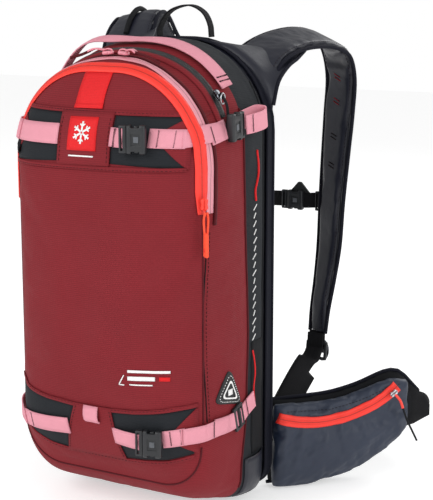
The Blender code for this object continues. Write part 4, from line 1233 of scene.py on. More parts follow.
def make_side_details():
    corners = [(-0.0575, 0.1850), (-0.0860, 0.1480), (-0.0260, 0.1340)]
    centre = Vector((sum(c[0] for c in corners) / 3, sum(c[1] for c in corners) / 3))

    def rounded(scale):
        points = []
        for i, corner in enumerate(corners):
            here = centre + (Vector(corner) - centre) * scale
            before = centre + (Vector(corners[i - 1]) - centre) * scale
            after = centre + (Vector(corners[(i + 1) % 3]) - centre) * scale
            first, last = here.lerp(before, 0.22), here.lerp(after, 0.22)
            for k in range(7):
                t = k / 6
                points.append(first.lerp(here, t).lerp(here.lerp(last, t), t))
        return points + points[:1]

    def raised(scale, lift):
        return [on_side(1, p.x, p.y, lift) for p in rounded(scale)]

    steps = ((1.0, 0.0004), (0.985, 0.0016), (0.94, 0.0021), (0.60, 0.0021), (0.30, 0.0021), (0.02, 0.0021))
    sheets("side_badge", [[raised(scale, lift) for scale, lift in steps]], RUBBER, "pack_body",
           "black_rubber", away=BODY_MIDDLE)
    line = [raised(scale, 0.0026) for scale in (0.56, 0.52, 0.48, 0.44)]
    sheets("side_badge_ring", [line], WHITE, "pack_body", "black_rubber", 0.0003, away=BODY_MIDDLE)
    peak = [[on_side(1, centre.x + dy, centre.y + dz, 0.0026) for dy in (-0.0045, 0.0, 0.0045)]
            for dz in (-0.0035, 0.0, 0.0035)]
    sheets("side_badge_mark", [peak], WHITE, "pack_body", "black_rubber", 0.0003, away=BODY_MIDDLE)
    dashes = raised(0.80, 0.0024)
    stitches("side_badge_dashes", [dashes], WHITE, "pack_body", "black_rubber", 0.0016, 0.0018, 0.0005)

    def side_run(name, path, radius, look, slot, lift=0.0006):
        points = smooth_path([Vector((0, y, z)) for y, z in path], 6)
        tube(name, [on_side(1, point.y, point.z, lift) for point in points], radius, look, "pack_body", slot)

    upper = [(0.012, 0.424), (0.0155, 0.410), (0.0150, 0.396), (0.0090, 0.380), (0.0085, 0.366)]
    lower = [(0.0035, 0.190), (0.0085, 0.176), (0.0100, 0.160), (0.0065, 0.144), (0.0085, 0.128)]
    rear = [(0.0335, z) for z in (0.500, 0.38, 0.25, 0.10, 0.03)]
    side_run("band_marker_upper", upper, 0.0014, RED, "red_fabric")
    side_run("band_marker_lower", lower, 0.0012, RED, "red_fabric")
    side_run("band_rear_piping", rear, 0.0018, BLACK, "black_fabric", 0.0004)
    for i, z in enumerate(np.arange(0.205, 0.362, 0.0096)):
        half = (0.0036, 0.0026, 0.0036, 0.0018)[i % 4]
        ends = [on_side(1, 0.0075 + half * u, z + 0.0030 * u, 0.0003) for u in (-1, 1)]
        line = [ends[0].lerp(ends[1], t) for t in (0, 0.3, 0.7, 1)]
        tube("band_mark_%02d" % i, line, 0.0007, WHITE, "pack_body", "black_fabric")
    for side, name in SIDES:
        edge = [on_side(side, band_edge(z), z, 0.0006) for z in np.arange(0.030, 0.478, 0.006)]
        tube("band_edge_piping_" + name, edge, 0.0012, BURGUNDY_DARK, "pack_body", "burgundy_fabric")
        seam, sewn = ([on_side(side, depth + 0.004 * math.sin(z * 20), z, 0.0004)
                       for z in np.arange(0.130, top, 0.006)]
                      for depth, top in ((-0.0985, 0.366), (-0.0940, 0.352)))
        tube("side_seam_" + name, seam, 0.0007, THREAD_DARK, "pack_body", "burgundy_fabric")
        stitches("side_seam_stitches_" + name, [sewn], THREAD_DARK, "pack_body", "burgundy_fabric",
                 radius=0.0003)
        block_rows = [[on_side(side, y, z, 0.0004 + 0.003 * math.sin(math.pi * (y + 0.016) / 0.050))
                       for y in np.linspace(-0.016, 0.034, 8)] for z in np.linspace(0.006, 0.062, 9)]
        sheets("band_foot_" + name, [block_rows], NAVY, "pack_body", "navy_fabric", 0.0010, away=BODY_MIDDLE)
        hollow = [[on_side(side, y, z, 0.0003) for y in np.linspace(0.001, 0.031, 6)]
                  for z in np.linspace(0.064, 0.200, 16)]
        sheets("band_vent_" + name, [hollow], BLACK, "pack_body", "black_fabric", 0.0004, away=BODY_MIDDLE)


make_side_details()


def seam_round_front():
    """The piped seam round the foot of the front panel, and the panel's lower seam."""
    points = []
    for x, z, nx, nz in outline(SEAM_Y, 0.0035):
        if z > 0.135:
            continue
        base = Vector((x, SEAM_Y, z))
        out = Vector((nx * SLOPE_OUT, -SLOPE_FRONT, nz * SLOPE_OUT))
        points.append((x, land(SKIN, base + out * 0.04, -out, 0.0003)))
    right = [p for x, p in points if x > 0]
    left = [p for x, p in points if x <= 0]
    tube("front_foot_piping", left + right, 0.0011, BURGUNDY_DARK, "pack_body", "burgundy_fabric")
    for side, name in SIDES:
        run = [Vector((side * 0.1275, SEAM_Y, z)) for z in np.arange(0.130, 0.366, 0.006)]
        out = Vector((side * SLOPE_OUT, -SLOPE_FRONT, 0))
        tube("front_side_piping_" + name, [land(SKIN, p + out * 0.04, -out, 0.0003) for p in run], 0.0011,
             BURGUNDY_DARK, "pack_body", "burgundy_fabric")


seam_round_front()


# Back panel, yoke and lumbar pad

def soft_ring(place, centre, half, power=4.0, count=24):
    """A rounded section in two directions; place turns its (u, v) into a point."""
    ring = []
    for a in np.linspace(0, math.tau, count, endpoint=False):
        c, s = math.cos(a), math.sin(a)
        u = centre[0] + half[0] * math.copysign(abs(c) ** (2 / power), c)
        v = centre[1] + half[1] * math.copysign(abs(s) ** (2 / power), s)
        ring.append(place(u, v))
    return ring


def panel_outline(half, bottom, top, low_radius, high_radius, inset=0.0, steps=10):
    points = []
    for cx, cz, radius, start in ((half - low_radius, bottom + low_radius, low_radius, -90),
                                  (half - high_radius, top - high_radius, high_radius, 0),
                                  (high_radius - half, top - high_radius, high_radius, 90),
                                  (low_radius - half, bottom + low_radius, low_radius, 180)):
        for i in range(steps + 1):
            turn = math.radians(start + 90 * i / steps)
            points.append((cx + (radius - inset) * math.cos(turn), cz + (radius - inset) * math.sin(turn)))
    return points


def pad(name, outline_at, y_front, y_back, look, body, slot, replaced=(), cap=0.003, voxel=0.0045,
        growth=0.01, pinned=None):
    """A padded panel between two depths, from a function that gives its outline at an inset."""
    middle, half = (y_front + y_back) / 2, (y_back - y_front) / 2
    rings = []
    for t, inset in ((-1, 0.006), (-0.96, 0.0025), (-0.6, 0.0004), (0, 0.0), (0.6, 0.0004), (0.96, 0.0025),
                     (1, 0.006)):
        rings.append([(x, middle + half * t, z) for x, z in outline_at(inset)])
    obj = loft_mesh(name, rings)
    inflate(obj, voxel, cap, pinned, growth)
    return dress(obj, look, body, slot, replaced)


def make_back():
    low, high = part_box("back_panel")
    half, top = high.x, high.z

    def whole(inset):
        return panel_outline(half - 0.001, low.z, top - 0.001, 0.035, 0.105, inset)

    pad("back_panel_cloth", whole, low.y + 0.0006, high.y - 0.0022, NAVY, "pack_body", "navy_fabric",
        ["back_panel"], cap=0.0015, voxel=0.005, growth=0.0)
    for y, radius in ((low.y + 0.0030, 0.0017), (high.y - 0.0030, 0.0019)):
        ring = [(x, y, z) for x, z in whole(0.0)]
        tube("back_piping_" + ("front" if y < 0.05 else "rear"), ring, radius, NAVY_EDGE, "pack_body",
             "navy_fabric", cyclic=True)
    for side, name in SIDES:
        def strip(inset, side=side):
            points = panel_outline(0.042, 0.125, 0.405, 0.018, 0.018, inset)
            return [(x + side * 0.058, z) for x, z in points]

        pad("back_pad_" + name, strip, high.y - 0.0050, high.y + 0.0050, NAVY_MESH, "pack_body",
            "navy_fabric", cap=0.0022)
        sewn = [(x, high.y - 0.0012, z) for x, z in panel_outline(0.047, 0.120, 0.410, 0.020, 0.020)]
        stitches("back_pad_stitches_" + name, [[(x + side * 0.058, y, z) for x, y, z in sewn + sewn[:1]]],
                 THREAD_DARK, "pack_body", "navy_fabric")
    edge = [[(x, y, z) for x, z in whole(0.0)] for y in np.linspace(low.y + 0.002, high.y - 0.002, 5)]
    sheets("back_edge_strip", [[row + row[:1] for row in edge]], NAVY_EDGE, "pack_body", "navy_fabric",
           0.0010, away=(0, 0.05, 0.3))
    low_pad, high_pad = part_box("lumbar_pad")

    def lumbar(inset):
        return panel_outline(high_pad.x - 0.001, low_pad.z + 0.001, high_pad.z - 0.001, 0.018, 0.018, inset)

    pad("lumbar_cushion", lumbar, low_pad.y - 0.002, high_pad.y - 0.0012, NAVY_MESH, "pack_body",
        "navy_fabric", ["lumbar_pad"], cap=0.0018)
    low_yoke, high_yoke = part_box("yoke_panel")

    def yoke(inset):
        corners = [(-0.100, 0.421), (0.100, 0.421), (0.117, 0.483), (0.060, 0.489), (-0.060, 0.489),
                   (-0.117, 0.483)]
        centre = Vector((0, 0.455))
        shrunk = [centre + (Vector(c) - centre) * (1 - inset / 0.06) for c in corners]
        return [tuple(shrunk[i].lerp(shrunk[(i + 1) % 6], k / 6)) for i in range(6) for k in range(6)]

    pad("yoke_cloth", yoke, low_yoke.y - 0.002, high_yoke.y - 0.0006, NAVY, "pack_body", "navy_fabric",
        ["yoke_panel"], cap=0.0012, voxel=0.003)


make_back()


# Shoulder straps

LOWER_STRAP = (  # x, y, z and width of a strap's middle line, and the share of its twist
    (0.118, 0.235, 0.335, 0.050, 1.0), (0.118, 0.229, 0.278, 0.047, 1.0), (0.117, 0.220, 0.235, 0.042, 1.0),
    (0.115, 0.211, 0.195, 0.036, 0.9), (0.114, 0.207, 0.165, 0.032, 0.8))
RIGHT_ARCH = (
    (0.084, 0.0715, 0.500, 0.074, 0.0), (0.087, 0.084, 0.520, 0.072, 0.1), (0.093, 0.112, 0.535, 0.070, 0.3),
    (0.102, 0.152, 0.5435, 0.066, 0.6), (0.112, 0.197, 0.5435, 0.062, 0.9), (0.119, 0.233, 0.529, 0.060, 1.0),
    (0.121, 0.250, 0.494, 0.058, 1.0), (0.119, 0.250, 0.445, 0.058, 1.0), (0.118, 0.245, 0.400, 0.055, 1.0))
LEFT_ARCH = (  # stands higher over its root and falls sooner
    (0.088, 0.0715, 0.500, 0.074, 0.0), (0.096, 0.084, 0.530, 0.075, 0.1), (0.102, 0.104, 0.556, 0.073, 0.2),
    (0.105, 0.126, 0.570, 0.067, 0.3), (0.110, 0.152, 0.564, 0.063, 0.6), (0.115, 0.186, 0.536, 0.060, 0.8),
    (0.119, 0.225, 0.508, 0.060, 1.0), (0.119, 0.247, 0.470, 0.058, 1.0), (0.118, 0.249, 0.430, 0.056, 1.0),
    (0.118, 0.243, 0.385, 0.054, 1.0))
STRAP_TWIST = 25
STRAP_THICK = 0.012
BINDING_INSET, SEAM_INSET = 0.0018, 0.0075  # from a strap's edge


def strap_frames(side):
    """Stations down a shoulder strap: middle, direction across, outward direction and width."""
    middles, extras = [], []
    for x, y, z, width, share in (RIGHT_ARCH if side > 0 else LEFT_ARCH) + LOWER_STRAP:
        middles.append((side * x, y, z))
        extras.append((width, share, 0.0))
    path = smooth_path(middles, 6)
    widths = smooth_path(extras, 6)
    frames = []
    for i, point in enumerate(path):
        tangent = (path[min(i + 1, len(path) - 1)] - path[max(i - 1, 0)]).normalized()
        twist = Matrix.Rotation(math.radians(side * STRAP_TWIST * widths[i].y), 3, tangent)
        across = twist @ Vector((1, 0, 0))
        across = (across - tangent * across.dot(tangent)).normalized()
        outward = across.cross(tangent).normalized()
        frames.append((point, across, outward, widths[i].x))
    return frames


def make_shoulder_straps():
    for side, name in SIDES:
        body = "shoulder_strap_" + name
        frames = strap_frames(side)
        rings = []
        for point, across, outward, width in frames:
            rings.append(soft_ring(lambda u, v, p=point, a=across, o=outward: tuple(p + a * u + o * v),
                                   (0, 0), (width / 2 - 0.0015, STRAP_THICK * 0.36), 3.2, 20))
        obj = loft_mesh("strap_padding_" + name, rings)
        inflate(obj, 0.0040, 0.0024, None, growth=0.012)
        points = coordinates(obj.data)
        for i, (x, y, z) in enumerate(points):
            near_arch = math.exp(-((y - 0.14) / 0.07) ** 2) if z > 0.48 else 0.15
            fold = noise.fractal(Vector((x * 26, y * 40, z * 30)), 0.8, 2.0, 3) * 0.0016 * near_arch
            points[i, 2] += fold
        set_coordinates(obj.data, points)
        dress(obj, NAVY, body, "navy_fabric", ["shoulder_strap_" + name])
        for edge in (-1, 1):
            line = [p + a * edge * (w / 2 - BINDING_INSET) for p, a, _, w in frames]
            tube("strap_binding_%s_%s" % (name, "outer" if edge * side > 0 else "inner"), line, 0.0026,
                 NAVY_EDGE, body, "navy_fabric")
        skin = skin_of(obj)
        for face in (-1, 1):
            runs = [[land(skin, p + a * edge * (w / 2 - SEAM_INSET) + o * face * 0.03, -o * face, 0.0001)
                     for p, a, o, w in frames[2:-1]] for edge in (-1, 1)]
            stitches("strap_stitches_%s_%s" % (name, "in" if face < 0 else "out"), runs, THREAD_DARK, body,
                     "navy_fabric", radius=0.0003)
        strap_tacks("strap_red_tacks_" + name, (0.497, 0.461), frames, skin, THREAD_RED, body, 0.0004)
        strap_tacks("strap_black_tacks_" + name, (0.414, 0.380), frames, skin, THREAD_DARK, body, 0.0005)
        make_strap_foot(side, name)
        make_web(side, name)


def strap_tacks(name, heights, frames, skin, look, body, half_width):
    """Pairs of slanted tacks across the inner face of a shoulder strap, at some heights."""
    spans = []
    for z in heights:
        p, a, o, _ = min((f for f in frames if f[0].y > 0.2), key=lambda f: abs(f[0].z - z))
        inner = 1 if o.y < 0 else -1
        for shift in (-0.0022, 0.0022):
            middle = p + Vector((0, 0, shift)) + a * 0.001 + o * inner * 0.03
            first, last = (land(skin, middle + a * u + Vector((0, 0, -u * 0.35)), -o * inner, 0.0004)
                           for u in (-0.0055, 0.0055))
            spans.append((first, last, (0, 0, 1)))
    bar_tack(name, spans, look, body, "navy_fabric", half_width)


def make_strap_foot(side, name):
    """The ladder lock at a strap's foot, its ring and loop, and the webbing that runs down to the pack."""
    body = "shoulder_strap_" + name
    centre = middle_of("ladder_lock_" + name)
    ladder("strap_adjuster_" + name, local(centre, (0, -0.2, -1), (1, 0, 0)), 0.030, 0.024, 0.004,
           "ladder_lock_" + name, ["ladder_lock_" + name])
    ring = [centre + Vector((side * 0.0065 + 0.0085 * math.cos(a), 0.0035, 0.0005 + 0.0135 * math.sin(a)))
            for a in np.linspace(0, math.tau, 24, endpoint=False)]
    tube("strap_ring_" + name, ring, 0.0015, GUNMETAL, "ladder_lock_" + name, "black_plastic", cyclic=True)
    loop = [centre + Vector((0, 0.002, 0.026)), centre + Vector((0, 0.0015, 0.012)),
            centre + Vector((0, 0, 0.002)), centre + Vector((0, -0.004, 0.001)),
            centre + Vector((0, -0.004, 0.012)), centre + Vector((0, -0.003, 0.024))]
    ribbon("strap_foot_loop_" + name, smooth_path(loop, 4), Vector((1, 0, 0)), 0.022, 0.0015, BLACK_WEB, body,
           "black_webbing")
    anchor = Vector((side * 0.1145, 0.0640, 0.070))
    run = [anchor, Vector((side * 0.1150, 0.085, 0.083)), Vector((side * 0.1155, 0.120, 0.107)),
           Vector((side * 0.1155, 0.148, 0.124)), Vector((side * 0.1150, 0.172, 0.135)),
           centre + Vector((0, -0.016, -0.006)), centre + Vector((0, -0.003, 0.0055))]
    path = smooth_path(run, 10)
    rows = []
    for p in path:
        straight = min(1.0, max(0.0, (p.y - 0.165) / 0.030))
        turn = Vector((0.75 * side, 0.30, -0.59)).lerp(Vector((side, 0, 0)), straight)
        low_side = 0.0215 if 0.116 < p.y < 0.156 else 0.0115
        rows.append([p + turn.normalized() * u for u in (-0.0120, -0.006, 0, 0.006, low_side)])
    piece = sheets("strap_lower_webbing_" + name, [rows], BLACK_WEB, None, "black_webbing", 0.0018,
                   ["lower_webbing_" + name], offset=0.0)
    apply_modifiers(piece)
    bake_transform(piece)


def make_web(side, name):
    """Stretch fabric between the top corner of the back panel and the strap's root, with its bound edge."""
    pack = smooth_path([(side * x, y, z) for x, y, z in (
        (0.036, 0.050, 0.546), (0.070, 0.050, 0.539), (0.098, 0.051, 0.519), (0.110, 0.052, 0.505),
        (0.119, 0.053, 0.487), (0.1255, 0.054, 0.466))], 4)
    raised = 1.0 if side < 0 else 0.0
    edge = smooth_path([(side * x, y, z + raised * more) for x, y, z, more in (
        (0.078, 0.130, 0.5405, 0.030), (0.118, 0.150, 0.5370, 0.026), (0.1270, 0.116, 0.5240, 0.020),
        (0.1270, 0.090, 0.5150, 0.006), (0.1270, 0.065, 0.4985, 0.0), (0.1262, 0.0540, 0.4720, 0.0))], 4)
    middle = Vector((0, 0.052, 0.430))
    rows = [[p + (middle - p).normalized() * 0.010 for p in pack]]
    for t in np.linspace(0, 1, 9):
        sag = -0.006 * math.sin(math.pi * t)
        rows.append([p.lerp(e, t) + Vector((0, 0, sag * (1 - i / len(pack)))) for i, (p, e) in
                     enumerate(zip(pack, edge))])
    piece = sheets("shoulder_web_" + name, [rows], NAVY, None, "navy_fabric", 0.0014, away=(0, 0.06, 0.40))
    refine(piece)
    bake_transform(piece)
    rail = apply_curve(tube("shoulder_web_binding_" + name, edge, 0.0024, NAVY_EDGE, None, "navy_fabric"))
    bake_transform(rail)


def apply_curve(obj):
    """Turns a curve piece into a mesh piece of the same name."""
    graph = bpy.context.evaluated_depsgraph_get()
    data = bpy.data.meshes.new_from_object(obj.evaluated_get(graph))
    name, slot = obj.name, obj["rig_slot"]
    look = obj.data.materials[0]
    bpy.data.objects.remove(obj)
    data.materials.clear()
    made = bpy.data.objects.new(name, data)
    return dress(made, look, None, slot)


make_shoulder_straps()


def make_chest_strap():
    y, z = 0.2550, 0.329
    right = [(0.0655, y - 0.0060, z), (0.074, y - 0.0040, z), (0.090, y, z + 0.0010), (0.108, y, z + 0.002)]
    left = [(-0.108, y, z), (-0.060, y + 0.001, z - 0.0035), (0.000, y, z - 0.0020), (0.0385, y - 0.003, z),
            (0.0460, y - 0.0035, z)]
    ribbon("sternum_webbing_right", smooth_path(right, 5), Vector((0, 0, 1)), 0.0200, 0.0016, BLACK_WEB,
           "sternum_strap", "black_webbing", ["sternum_strap_right"])
    ribbon("sternum_webbing_left", smooth_path(left, 6), Vector((0, 0, 1)), 0.0200, 0.0016, BLACK_WEB,
           "sternum_strap", "black_webbing", ["sternum_strap_left"])
    for x in (0.092, -0.084):
        ladder("sternum_adjuster_" + ("right" if x > 0 else "left"),
               local((x, y - 0.0022, z), (1, 0, 0), (0, 0, 1)), 0.026, 0.012, 0.004, "sternum_strap", ())
    peak = block((0.030, 0.0030, 0.0140), (0, 0, 0.0070), 0.0008)
    for v in peak.data.vertices:
        v.co.x *= 1.0 - max(0.0, v.co.z) / 0.0140 * 0.86
    finish_hard(peak, "sternum_loop_guide", Matrix.Translation((0.064, y - 0.0040, z + 0.0100)), RUBBER,
                "sternum_strap", "black_plastic")


make_chest_strap()


GRIP_HALF = 0.0455  # half the handle's length


def make_trigger():
    turn = math.radians(STRAP_TWIST)
    seat = local(middle_of("trigger_handle"), (0, -0.126, -0.992), (math.cos(turn), math.sin(turn), 0))
    rings = []
    for t in np.linspace(-1, 1, 15):
        half = 0.0125 * (1 - 0.24 * math.exp(-(t / 0.45) ** 2)) * math.sqrt(max(0.03, 1 - abs(t) ** 7))
        rise = 0.0066 * math.sqrt(max(0.08, 1 - abs(t) ** 8)) * (1 - 0.08 * abs(math.sin(t * 12)))
        rings.append(soft_ring(lambda u, v, t=t: tuple(seat @ Vector((GRIP_HALF * t, u, v))), (0, 0),
                               (half, rise), 3, 18))
    handle = loft_mesh("trigger_grip", rings)
    refine(handle)
    handle.data.shade_smooth()
    dress(handle, TRIGGER, "trigger_handle", "trigger_plastic", ["trigger_handle"])
    ribs = [[seat @ Vector((GRIP_HALF * t, u, 0.0066)) for u in (-0.0075, 0.0075)]
            for t in np.linspace(-0.5, 0.5, 7)]
    stitches("trigger_grip_ribs", ribs, TRIGGER, "trigger_handle", "trigger_plastic", 0.0148, 0.0001, 0.0011)
    frames = strap_frames(-1)
    over = 1 if frames[15][2].z > 0 else -1
    sleeve = [p + o * over * 0.0085 for p, _, o, _ in frames[9:44:3]]
    tube("trigger_sleeve", smooth_path(sleeve, 3), 0.0034, BLACK, "shoulder_strap_left", "black_fabric")


make_trigger()


# Hip belt

HINGE = (0.112, 0.070)
WING_TURN = math.radians(47)
WING_LENGTH, WING_HALF = 0.203, 0.007
WING_BOTTOM = ((0.0, 0.003), (0.065, 0.003), (0.108, 0.009), (0.144, 0.026), (0.174, 0.044), (0.203, 0.074))
WING_TOP = ((0.0, 0.110), (0.080, 0.112), (0.122, 0.121), (0.150, 0.133), (0.172, 0.138), (0.188, 0.127),
            (0.203, 0.100))
POCKET_LOW = ((0.008, 0.005), (0.058, 0.004), (0.100, 0.013), (0.136, 0.031), (0.165, 0.050), (0.180, 0.070))
POCKET_HIGH = ((0.008, 0.110), (0.074, 0.108), (0.112, 0.116), (0.148, 0.130), (0.168, 0.133), (0.180, 0.122))
POCKET_DEPTH = 0.024
ZIP_CENTRE, ZIP_RADIUS = (0.058, 0.250), 0.165


def wing_point(side, along, out, z):
    c, s = math.cos(WING_TURN), math.sin(WING_TURN)
    return Vector((side * (HINGE[0] + c * along + s * out), HINGE[1] + s * along - c * out, z))


def table(values, at):
    return float(np.interp(at, [v[0] for v in values], [v[1] for v in values]))


def soft_table(values, at):
    """A table's value averaged over a short run, so that its corners round off."""
    return sum(table(values, at + d) for d in (-0.014, -0.007, 0, 0.007, 0.014)) / 5


def make_hip_belt():
    for side, name in SIDES:
        body = "hip_wing_" + name
        rings, top_line, low_line = [], [], []
        for along in np.linspace(0.0, WING_LENGTH, 22):
            close = math.sqrt(max(0.02, 1 - (along / WING_LENGTH) ** 10))
            low, high = soft_table(WING_BOTTOM, along), soft_table(WING_TOP, along)
            middle, half = (low + high) / 2, (high - low) / 2 * (0.80 + 0.20 * close)
            rings.append(soft_ring(lambda o, z, s=along: tuple(wing_point(side, s, o, z)), (0, middle),
                                   (WING_HALF * 0.80 * (0.5 + 0.5 * close), half + 0.0012), 5.0, 36))
            top_line.append(wing_point(side, along, 0, middle + half - 0.0005))
            low_line.append(wing_point(side, along, 0, middle - half + 0.0005))
        obj = loft_mesh("hip_padding_" + name, rings)
        inflate(obj, 0.0045, 0.0022, None, growth=0.01)
        dress(obj, BLACK, body, "black_fabric", ["hip_wing_" + name])
        tube("hip_binding_" + name, top_line + low_line[::-1], 0.0024, NAVY_EDGE, body, "black_fabric")
        start = wing_point(side, WING_LENGTH - 0.016, 0, 0.088)
        path = [start, wing_point(side, WING_LENGTH + 0.001, 0, 0.087)]
        path += [Vector((side * x, y, z)) for x, y, z in (
            (0.2555, 0.229, 0.084), (0.2565, 0.241, 0.079), (0.2510, 0.254, 0.075), (0.2390, 0.266, 0.069),
            (0.2180, 0.279, 0.060), (0.1870, 0.2915, 0.050), (0.165, 0.2950, 0.044))]
        rows = []
        for p in smooth_path(path, 5):
            half = 0.0150 - 0.0110 * math.exp(-((p.y - 0.250) / 0.015) ** 2)
            rows.append([p + Vector((0, 0, half * s)) for s in (-1, -0.5, 0, 0.5, 1)])
        sheets("hip_webbing_band_" + name, [rows], BLACK_WEB, body, "black_webbing", 0.0020,
               ["hip_webbing_" + name], offset=0.0)
        tab = []
        for along, low, high in ((WING_LENGTH - 0.030, 0.058, 0.122), (WING_LENGTH - 0.008, 0.062, 0.110),
                                 (WING_LENGTH + 0.006, 0.066, 0.098), (WING_LENGTH + 0.016, 0.070, 0.084)):
            tab.append([wing_point(side, along, 0.0058 - 0.004 * (along > WING_LENGTH),
                                   low + (high - low) * t)
                        for t in (0, 0.25, 0.5, 0.75, 1)])
        sheets("hip_tip_tab_" + name, [tab], BLACK_WEB, body, "black_webbing", 0.0016, offset=0.0)
    make_hip_pocket()


def make_hip_pocket():
    near, far = WING_HALF + 0.0008, WING_HALF + 0.0008 + POCKET_DEPTH
    rings = []
    for along in (0.0025, 0.006, 0.012, 0.024, 0.042, 0.060, 0.080, 0.100, 0.118, 0.136, 0.152, 0.165,
                  0.173, 0.178, 0.180):
        end = min(1.0, (along - 0.0010) / 0.009, (0.1815 - along) / 0.014)
        depth = (far - near) * (0.42 + 0.58 * math.sqrt(max(0.0, end)))
        low, high = soft_table(POCKET_LOW, along) - 0.003, soft_table(POCKET_HIGH, along)
        rings.append(soft_ring(lambda o, z, s=along: tuple(wing_point(1, s, o, z)),
                               (near + depth / 2, (low + high) / 2),
                               (depth / 2 - 0.0012, (high - low) / 2 - 0.001), 3.0, 32))
    obj = loft_mesh("hip_pocket_cloth", rings)
    c, s = math.cos(WING_TURN), math.sin(WING_TURN)

    def flat(x, y):
        dx, dy = x - HINGE[0], y - HINGE[1]
        return c * dx + s * dy, s * dx - c * dy

    def pinned(x, y, z):
        along, out = flat(x, y)
        if out < near + 0.004:
            return 1.0
        far_off = math.hypot(along - ZIP_CENTRE[0], z - ZIP_CENTRE[1])
        return 0.9 if abs(far_off - ZIP_RADIUS) < 0.004 and z < 0.15 else 0.0

    inflate(obj, 0.0040, 0.0050, pinned, growth=0.035)
    points = coordinates(obj.data)
    for i, (x, y, z) in enumerate(points):
        along, out = flat(x, y)
        if out > near + 0.006:
            place = Vector((along * 22 + z * 10, z * 46 - along * 26, 0.3))
            fold = noise.fractal(place, 0.7, 2.0, 3) * 0.0022
            edge = min(1.0, abs(math.hypot(along - ZIP_CENTRE[0], z - ZIP_CENTRE[1]) - ZIP_RADIUS) / 0.010)
            points[i] += np.array((s, -c, 0)) * fold * edge
    set_coordinates(obj.data, points)
    dress(obj, SLATE, None, "slate_fabric", ["hip_pocket"])
    skin = skin_of(obj)
    outward = Vector((s, -c, 0))
    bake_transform(obj)

    def on_pocket(along, z, lift):
        return land(skin, wing_point(1, along, 0.09, z), -outward, lift)

    rows = []
    for turn in np.linspace(251.5, 308.5, 46):
        a = math.radians(turn)
        rows.append([on_pocket(ZIP_CENTRE[0] + (ZIP_RADIUS - o * 1.28) * math.cos(a),
                               ZIP_CENTRE[1] + (ZIP_RADIUS - o * 1.28) * math.sin(a), lift)
                     for o, lift in zip(TAPE, TAPE_LIFT)])
    tape = sheets("hip_pocket_zip_tape", [rows], RED_ZIP, None, "red_zip", 0.0010, ["hip_pocket_zip"],
                  away=wing_point(1, 0.09, 0.0, 0.06))
    apply_modifiers(tape)
    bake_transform(tape)
    spot = middle_of("hip_zip_slider")
    a = math.radians(305 + 90)
    along_dir = Vector((c, s, 0))
    seat = local(spot + outward * 0.0012, along_dir * math.cos(a) + Vector((0, 0, math.sin(a))),
                 along_dir * -math.sin(a) + Vector((0, 0, math.cos(a))))
    slider("hip_slider", seat, STEEL, "bright_steel", "hip_zip_slider", (0.0105, 0.0070, 0.0036))
    knot = spot + outward * 0.004
    tab = [knot, knot + along_dir * 0.006 + outward * 0.003 + Vector((0, 0, -0.008)),
           knot + along_dir * 0.010 + outward * 0.003 + Vector((0, 0, -0.018))]
    cord_pull("hip_slider_tab", tab, RED_PLASTIC, "hip_zip_slider", "red_zip", 0.0017)
    tail = [tab[-1], tab[-1] + along_dir * 0.006 + Vector((0, 0, -0.016)),
            tab[-1] + along_dir * 0.015 + Vector((0, 0, -0.034)),
            tab[-1] + along_dir * 0.020 + Vector((0, 0, -0.044))]
    cord_pull("hip_slider_cord", tail, BLACK, "hip_zip_slider", "black_webbing", 0.0013)
    label = [[wing_point(1, 0.0035 + 0.0012 * k, 0.0195 + 0.0004 * k, z) for k in range(3)]
             for z in np.linspace(0.030, 0.052, 6)]
    tag = sheets("hip_root_tag", [label], RED, None, "red_fabric", 0.0008, offset=0.0)
    apply_modifiers(tag)
    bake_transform(tag)
    rim = [on_pocket(a_, table(POCKET_HIGH, a_) - 0.010, 0.0002) for a_ in np.linspace(0.016, 0.166, 40)]
    stitches("hip_pocket_stitches", [rim], THREAD_DARK, "hip_wing_right", "slate_fabric")


make_hip_belt()


def make_grab_loop():
    low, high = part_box("grab_loop")
    y, base = (low.y + high.y) / 2, low.z
    path = [(x, y, base + rise) for x, rise in (
        (-0.024, -0.004), (-0.0235, 0.006), (-0.014, 0.021), (0.000, 0.0295), (0.020, 0.0325), (0.037, 0.025),
        (0.0455, 0.011), (0.0475, -0.004))]
    ribbon("grab_loop_webbing", smooth_path(path, 7), Vector((0, 1, 0)), 0.0105, 0.0020, BLACK_WEB,
           "grab_loop", "black_webbing", ["grab_loop"])


make_grab_loop()


# Pieces that keep their CAD shape

for node, look in (("frame_sheet", SHEET), ("gas_cartridge", STEEL), ("inflation_valve", ALUMINIUM),
                   ("inflation_hose", RUBBER), ("trigger_cable", RUBBER), ("airbag_left", AIRBAG),
                   ("airbag_right", AIRBAG)):
    kept = frame["nodes"][node]
    kept.data.materials.clear()
    kept.data.materials.append(look)


# Staging

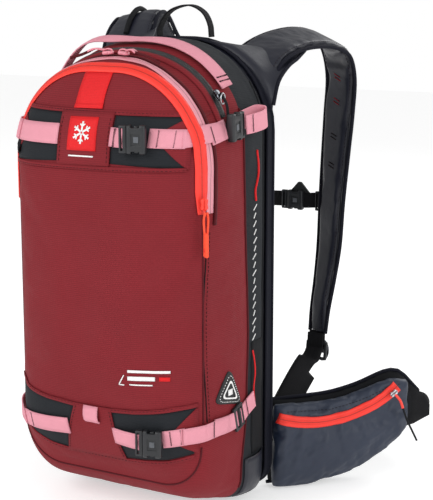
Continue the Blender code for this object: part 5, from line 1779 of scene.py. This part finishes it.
bpy.ops.mesh.primitive_plane_add(size=12, location=(0, 0, -0.0006))
floor = bpy.context.active_object
floor.name = "floor"
floor_look = Look("pale_floor", 0.9)
floor_look.colour((226, 226, 226), 1.0)
floor_look.shader.inputs["Emission Color"].default_value = (1, 1, 1, 1)
floor_look.shader.inputs["Emission Strength"].default_value = 0.52
floor.data.materials.append(floor_look.material)

world = bpy.data.worlds.new("studio")
bpy.context.scene.world = world
world.use_nodes = True
backdrop = world.node_tree.nodes["Background"]
backdrop.inputs["Color"].default_value = (1, 1, 1, 1)
AMBIENT = 0.55
seen = world.node_tree.nodes.new("ShaderNodeLightPath").outputs["Is Camera Ray"]
strength = world.node_tree.nodes.new("ShaderNodeMath")
strength.operation = "MAXIMUM"
strength.inputs[1].default_value = AMBIENT
world.node_tree.links.new(seen, strength.inputs[0])
world.node_tree.links.new(strength.outputs[0], backdrop.inputs["Strength"])


def area_light(name, location, target, size, power):
    data = bpy.data.lights.new(name, "AREA")
    data.size = size
    data.energy = power
    lamp = bpy.data.objects.new(name, data)
    bpy.context.scene.collection.objects.link(lamp)
    lamp.location = location
    lamp.rotation_euler = (Vector(target) - Vector(location)).to_track_quat("-Z", "Y").to_euler()


area_light("key", (-0.7, -2.2, 1.7), (0, 0, 0.3), 1.6, 34)
area_light("fill", (2.4, -0.6, 1.2), (0, 0, 0.3), 1.6, 22)
area_light("back", (0.6, 2.2, 1.6), (0, 0, 0.3), 1.4, 20)

CAMERA_TARGET = Vector((0.139, -0.100, 0.328))
CAMERA_TURN, CAMERA_DOWN = math.radians(30), math.radians(11.1)
CAMERA_DISTANCE = 1.470
sight = Vector((-math.sin(CAMERA_TURN) * math.cos(CAMERA_DOWN), math.cos(CAMERA_TURN) * math.cos(CAMERA_DOWN),
                -math.sin(CAMERA_DOWN)))
camera_data = bpy.data.cameras.new("camera")
camera_data.lens = 98
camera = bpy.data.objects.new("camera", camera_data)
bpy.context.scene.collection.objects.link(camera)
camera.location = CAMERA_TARGET - sight * CAMERA_DISTANCE
camera.rotation_euler = sight.to_track_quat("-Z", "Y").to_euler()
bpy.context.scene.camera = camera
bpy.context.scene.view_settings.view_transform = "Standard"
